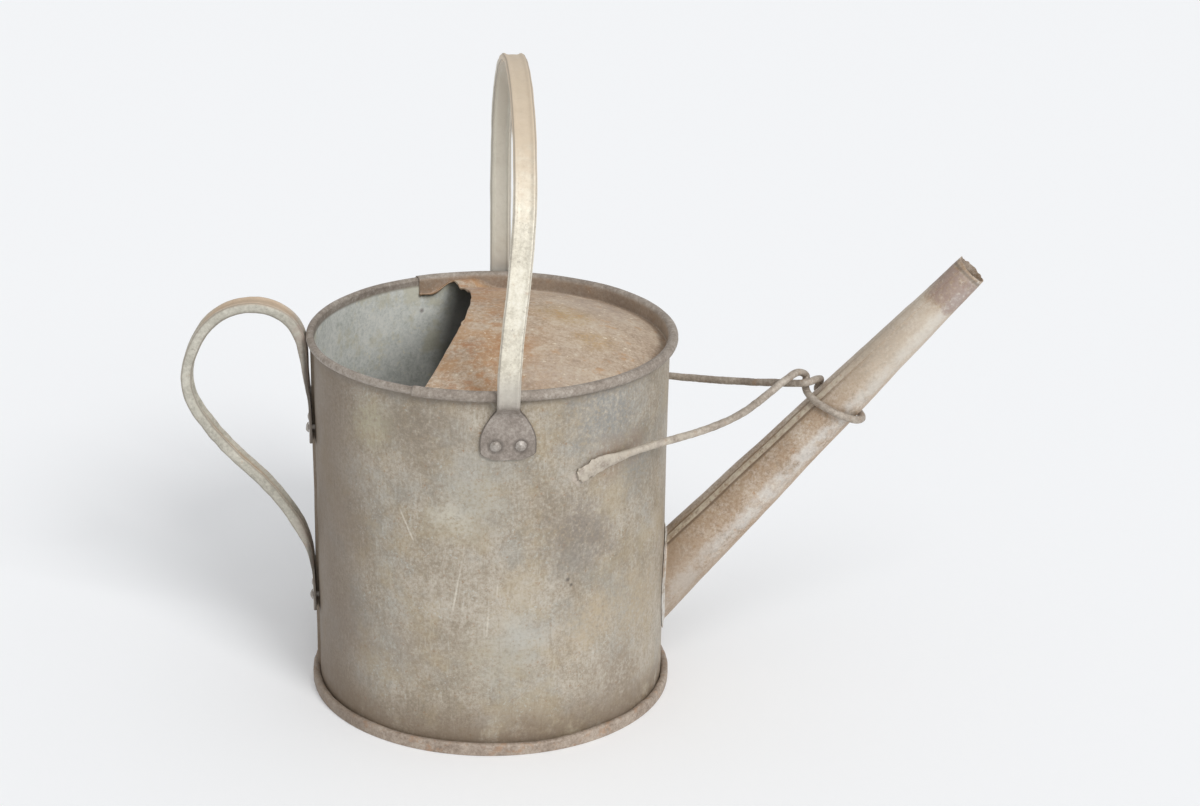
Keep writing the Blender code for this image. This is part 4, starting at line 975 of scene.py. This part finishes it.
def galvanised_wall():
    """Hot-dip galvanised steel long out of doors: dull, mottled zinc under a brown film."""
    metal = Metal("weathered_galvanised_wall", WALL_TONES, 62, 12, 1.9)
    tree, coords, small = metal.tree, metal.coords, metal.small

    # Rain has drawn the film into fine upright streaks, pale and brown
    upright = add(tree, "Mapping", {"Vector": coords, "Scale": (1.0, 1.0, 0.16)})
    metal.colour = films(tree, upright, metal.colour, ("cdc8bb", (2.0, 0.54, 0.7), 0.4),
                         ("85745f", (2.4, 0.46, 0.32), 0.4))

    # Soft blue-grey and ochre areas, pale bloom, brown flecks, and painted shade that darkens the side away
    # from the spout
    metal.lay(("a2a5a2", (43, 0.48, 0.66), 0.3), ("aa9877", (35, 0.46, 0.64), 0.4),
              ("c6cac4", (1.8, 0.55, 0.68), (27, 0.42, 0.62), 0.6),
              ("96704b", (2.4, 0.58, 0.7), 0.55), ("6f5f50", ("X", -58, -98), 0.7))
    ragged = add(tree, "TexNoise", {"Vector": coords, "Scale": 1.0 / (11 * MM), "Detail": 6.0,
                                    "Roughness": 0.75})
    speckled = patches(tree, coords, 2.2, 0.3, 0.6)
    metal.lay(*[
        (code, stain(tree, coords, on_wall(azimuth, height), radius, ragged), speckled, strength)
        for azimuth, height, radius, code, strength in WALL_STAINS])

    # Browner at the foot, painted shade under the rim bead, with scratches, small dark spots and a browner
    # rim
    bead, _, _ = mottled(tree, coords, RIM_TONES, 40, 5, 1.8)
    metal.lay(("7a6957", ("Z", 38, 7), (small, 0.25, 0.55), 0.8), ("7d7368", ("Z", 213, 218.5), 0.5))
    metal.lay(*[
        ("dcd6c8", scratch(tree, coords, on_wall(*start), on_wall(*end)), speckled, strength)
        for start, end, strength in WALL_SCRATCHES])
    metal.lay(*[
        ("4f4842", stain(tree, coords, on_wall(azimuth, height), radius, ragged), 0.8)
        for azimuth, height, radius in WALL_SPOTS], (bead, ("Z", 219.2, 220.4)))

    # Inner face: blue-grey zinc painted paler to stand in for light inside the can, with chalky specks and a
    # dark mark, and a painted shadow of the cover on the inner wall under it
    inner, _, _ = mottled(tree, coords, INSIDE_ZINC_AND_LIGHT_TONES, 34, 8, 2.2)
    # Painted shadow of the cover: a dark tone on the inner wall under it, bounded by a line that leans with
    # depth
    painted_shadow_across = add(tree, "VectorMath", {0: coords, 1: (1.0, 0.0, -0.24)}, "Value",
                  operation="DOT_PRODUCT")
    mark = stain(tree, coords, on_wall(114.0, 203.0), 1.8, ragged)
    inner = films(tree, coords, inner, ("f0ecd8", (4.5, 0.6, 0.68), 0.7), ("cdc7ab", (26, 0.5, 0.62), 0.5),
                  ("3f3c39", (painted_shadow_across, -82 * MM, -68 * MM), 0.85), ("6a5450", mark, 0.8))
    inward = add(tree, "Attribute", out="Fac", attribute_name="inner_face")
    metal.lay((inner, inward, ("Z", 220.2, 217.8)))
    shine = add(tree, "MapRange", {0: inward, 3: 0.25, 4: 0.0})
    tree.links.new(shine, metal.sockets["Metallic"])
    return metal.finish(0.25, 0.48, 0.7, 0.3)


def stained_base():
    """The same sheet at the foot, where damp has browned the folded band, with painted shade on the side
    away from the spout.
    """
    metal = Metal("rust_browned_base_fold", BASE_TONES, 24, 5, 1.8)
    # Brown damp patches and pale flecks, and painted shade that darkens the side away from the spout
    metal.lay(("a8805f", (7, 0.52, 0.66), 0.5), ("d2cabd", (2.4, 0.62, 0.7), 0.6),
              ("716354", ("X", -52, -96), 0.4))
    return metal.finish(0.2, 0.55, 0.8, 0.4)


def rusted_cover():
    """Galvanised sheet whose zinc has worn through: tan oxide, orange rust and pale flecks."""
    metal = Metal("rusted_cover_sheet", COVER_TONES, 44, 10, 2.2)
    tree, coords, small = metal.tree, metal.coords, metal.small
    metal.lay(("b98a58", (24, 0.38, 0.58), ("X", 48, -8), 0.55),
              ("a3683a", (6, 0.46, 0.62), (19, 0.4, 0.6), ("X", 30, -15), 0.5),
              ("d3c6b3", (2.2, 0.5, 0.68), ("X", 60, -5), 0.5),
              ("b98a5a", (9, 0.55, 0.68), 0.5), ("9b8472", (3.0, 0.58, 0.7), 0.5))
    ragged = add(tree, "TexNoise", {"Vector": coords, "Scale": 1.0 / (10 * MM), "Detail": 6.0,
                                    "Roughness": 0.75})
    speckled = patches(tree, coords, 2.4, 0.3, 0.62)
    metal.lay(*[
        (code, stain(tree, coords, (x * MM, y * MM, COVER_STAIN_HEIGHT), radius, ragged), speckled, strength)
        for x, y, radius, code, strength in COVER_STAINS])
    flecks = patches(tree, coords, 3.2, 0.68, 0.73, 2.0, 0.5)

    # The rolled rim keeps more of its zinc, and the channel just inside it is darker
    rim, _, _ = mottled(tree, coords, RIM_TONES, 40, 5, 1.8)
    flat = add(tree, "VectorMath", {0: coords, 1: (1.0, 1.0, 0.0)}, operation="MULTIPLY")
    distance = add(tree, "VectorMath", {0: flat}, "Value", operation="LENGTH")
    metal.lay(("e8dcc4", flecks, 0.75),
              ("7f6a59", (distance, 97 * MM, 102.5 * MM), (small, 0.25, 0.6), 0.6),
              (rim, (distance, 102.9 * MM, 104.4 * MM)))
    return metal.finish(0.12, 0.5, 0.8, 0.45)


def worn_strap(name, tones):
    """Rolled strap: mottled zinc with pits, specks of rust and a dark line along both edges."""
    metal = Metal(name, tones, 26, 6, 2.0)
    metal.lay(("8e857a", (2.6, 0.4, 0.3), 0.5), ("b39271", (7, 0.6, 0.7), 0.4))
    edge = add(metal.tree, "Attribute", out="Fac", attribute_name="strap_edge")
    line = add(metal.tree, "ValToRGB", {0: edge},
               stops=[(0.80, "000000"), (0.88, "ffffff"), (0.95, "000000")])
    return metal, edge, line


def feet_marks(metal, edge, rivets, share):
    """Darker tone along a foot's edge and in a ring round each rivet."""
    metal.lay(("544c45", (edge, 0.93, 0.99), share, 0.75))
    for node in sorted(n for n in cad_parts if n.startswith(rivets)):
        low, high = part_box(node)
        gap = add(metal.tree, "VectorMath", {0: metal.coords, 1: tuple((low + high) / 2)}, "Value",
                  operation="DISTANCE")
        metal.lay(("5a524b", (gap, 5.4 * MM, 3.9 * MM), 0.5))


def bail_metal():
    """Top handle: rubbed pale zinc on the near leg, tan at the top and brown at both feet."""
    metal, edge, line = worn_strap("hand_rubbed_strap", BAIL_TONES)
    tree, coords, small = metal.tree, metal.coords, metal.small
    height = add(tree, "SeparateXYZ", {0: coords}, 2)
    uneven = add(tree, "Math", {0: small, 1: 60 * MM, 2: height}, operation="MULTIPLY_ADD")
    foot, _, _ = mottled(tree, coords, FOOT_TONES, 16, 5, 1.8)
    metal.lay(("d0bda4", (uneven, 340 * MM, 395 * MM), 0.85), ("cfcbbf", ("Y", 15, 60), 0.8),
              ("8f8478", line, 0.7), ("b3ada4", ("Z", 244, 224), 0.75), (foot, ("Z", 226, 213)))
    feet_marks(metal, edge, "bail_rivet", ("Z", 222, 212))
    return metal.finish(0.2, 0.42, 0.65, 0.3)


def rear_metal():
    """Pouring handle: dull grey-green zinc, tan along its outer face and browner at its feet."""
    metal, edge, line = worn_strap("dull_zinc_strap", REAR_TONES)
    up = add(metal.tree, "SeparateXYZ", {0: add(metal.tree, "TexCoord", out="Normal")}, 2)
    metal.lay(("c3a98d", (up, 0.3, 0.75), 0.75), ("8a7f73", line, 0.75),
              ("98867a", ("X", -122, -110), (metal.small, 0.3, 0.6), 0.7))
    feet_marks(metal, edge, "rear_rivet", ("X", -112, -109.5))
    return metal.finish(0.2, 0.45, 0.68, 0.3)


def spout_metal():
    """Spout sheet: yellowed zinc with grey-white bloom, and a purple-brown stain near the mouth."""
    metal = Metal("yellowed_zinc_spout", SPOUT_TONES, 34, 8, 1.8)
    tree, small = metal.tree, metal.small
    place, turn, lap, flange = [add(tree, "Attribute", out="Fac", attribute_name=name)
                                for name in ("along_spout", "round_spout", "lap_seam", "flange")]
    uneven, turn = [add(tree, "Math", {0: small, 1: 0.12, 2: level}, operation="MULTIPLY_ADD")
                    for level in (place, turn)]

    # Rust flecks and bloom; an ochre stain band below the seam and a brown band underneath, both partly
    # painted shade of the tube's upper and lower sides; and a silver band that is a painted highlight along
    # the tube's middle
    metal.lay(("a98a5c", (5, 0.56, 0.7), 0.5), ("dbd7cc", (2.4, 0.56, 0.68), (24, 0.4, 0.6), 0.7),
              ("b07c48", (2.6, 0.58, 0.7), 0.6), ("ece5d4", (2.0, 0.62, 0.72), 0.6),
              ("94734c", (turn, 0.3, 0.17), (8, 0.36, 0.6), 0.55),
              ("d9d8d4", (turn, 0.21, 0.26), (turn, 0.37, 0.31), (14, 0.34, 0.6), 0.55),
              ("a98a69", (turn, 0.32, 0.4), (turn, 0.6, 0.5), 0.45))

    # The stain and a dark line near the mouth, brown at the root and paler in the upper half
    metal.lay(("a08c84", (uneven, 0.945, 0.975), (place, 0.985, 0.975), (2.6, 0.3, 0.55), 0.75),
              ("6f655c", (place, 0.979, 0.984), (place, 0.991, 0.986), 0.6),
              ("a08e7b", (uneven, 0.28, 0.1), 0.5),
              ("d6ccbc", (uneven, 0.56, 0.8), (uneven, 0.97, 0.93), 0.5))

    # The lap's crest is rubbed pale between two dark lines, and the flange is bright with solder
    crest = add(tree, "ValToRGB", {0: lap}, stops=[(0.0, "ffffff"), (0.42, "ffffff"), (0.52, "000000")])
    groove = add(tree, "ValToRGB", {0: lap}, stops=[(0.46, "000000"), (0.56, "ffffff"), (0.72, "ffffff"),
                                                   (0.95, "000000")])
    metal.lay(("776552", groove, (place, 0.75, 0.45), 0.75),
              ("d8d0bd", crest, (4, 0.35, 0.6), (place, 0.8, 0.5), 0.8),
              ("d3d2cd", flange, (6, 0.35, 0.6), 0.85))
    return metal.finish(0.3, 0.4, 0.6, 0.25)


def wire_metal():
    """Drawn iron wire, thin brown rust over a grey film, rubbed paler along the near leg."""
    metal = Metal("dull_iron_wire", WIRE_TONES, 22, 5, 1.8)
    metal.lay(("c9c0b0", ("Y", -20, -50), (8, 0.35, 0.6), 0.7), ("a3866c", (6, 0.56, 0.68), 0.5))
    return metal.finish(0.2, 0.5, 0.75, 0.3)


def rivet_metal():
    """Tinned iron rivet, flattened by the hammer and stained like the strap under it."""
    metal = Metal("stained_rivet", RIVET_TONES, 9, 3, 1.2)
    return metal.finish(0.3, 0.4, 0.6, 0.2)


# Pieces

def build_can():
    """Every piece of the can with its metal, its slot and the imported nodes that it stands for."""
    wall = galvanised_wall()
    piece("wall_sheet", wall_mesh(), wall, ["body_wall"])
    piece("folded_base", base_mesh(), stained_base(), ["bottom_plate"])
    cover = piece("cover_sheet", cover_mesh(), rusted_cover(), ["top_cover"], 60.0)
    shell = cover.modifiers.new("sheet", "SOLIDIFY")
    shell.thickness = COVER_SHEET
    shell.offset = -1.0
    piece("hoop_handle", bail_mesh(), bail_metal(), ["bail_handle"])
    piece("strap_handle", rear_mesh(), rear_metal(), ["rear_handle"])
    piece("spout_tube", spout_mesh(), spout_metal(), ["spout"])
    piece("wire_brace", brace_mesh(), wire_metal(), ["spout_brace"])
    rivet = rivet_metal()
    for seed, node in enumerate(sorted(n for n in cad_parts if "_rivet_" in n)):
        piece("head_" + node, rivet_mesh("head_" + node, node, 70 + 2 * seed), rivet, [node])
    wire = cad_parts["rim_wire"]
    wire.data.materials.clear()
    wire.data.materials.append(wire_metal())


# Floor, light and camera

def build_floor():
    """Wide pale floor: plain to the camera, with the can's shadow kept."""
    bpy.ops.mesh.primitive_plane_add(size=FLOOR_WIDTH)
    floor = bpy.context.object
    floor.name = "floor"
    material = bpy.data.materials.new("pale_floor")
    material.use_nodes = True
    shader = material.node_tree.nodes["Principled BSDF"]
    shader.inputs["Base Color"].default_value = linear(FLOOR_TONE)
    shader.inputs["Roughness"].default_value = 0.9
    floor.data.materials.append(material)


def build_light():
    """Two wide soft lamps, the key to the right and a weak one in front, and a pale surround."""
    world = bpy.data.worlds.new("studio")
    bpy.context.scene.world = world
    world.use_nodes = True
    surround = world.node_tree.nodes["Background"]
    surround.inputs["Color"].default_value = linear(SURROUND_TONE)
    surround.inputs["Strength"].default_value = SURROUND_STRENGTH
    lamps = (("key", KEY_PLACE, KEY_STRENGTH), ("front", FRONT_PLACE, FRONT_STRENGTH))
    for name, place, strength in lamps:
        data = bpy.data.lights.new(name, "SUN")
        data.angle = LAMP_WIDTH
        data.energy = strength
        lamp = bpy.data.objects.new(name, data)
        lamp.location = place
        lamp.rotation_euler = place.to_track_quat("Z", "Y").to_euler()
        bpy.context.scene.collection.objects.link(lamp)


def build_camera():
    """Camera from its place, heading, downward pitch and roll."""
    heading = Vector((math.sin(CAMERA_YAW) * math.cos(CAMERA_PITCH),
                      math.cos(CAMERA_YAW) * math.cos(CAMERA_PITCH), -math.sin(CAMERA_PITCH)))
    level = Vector((math.cos(CAMERA_YAW), -math.sin(CAMERA_YAW), 0.0))
    above = level.cross(heading)
    right = math.cos(CAMERA_ROLL) * level + math.sin(CAMERA_ROLL) * above
    up = -math.sin(CAMERA_ROLL) * level + math.cos(CAMERA_ROLL) * above
    data = bpy.data.cameras.new("camera")
    data.lens = CAMERA_LENS
    data.sensor_width = CAMERA_SENSOR
    camera = bpy.data.objects.new("camera", data)
    turn = Matrix((right, up, -heading)).transposed().to_4x4()
    camera.matrix_world = Matrix.Translation(CAMERA_PLACE) @ turn
    bpy.context.scene.collection.objects.link(camera)
    bpy.context.scene.camera = camera


build_can()
build_floor()
build_light()
build_camera()
bpy.context.scene.view_settings.view_transform = "Standard"
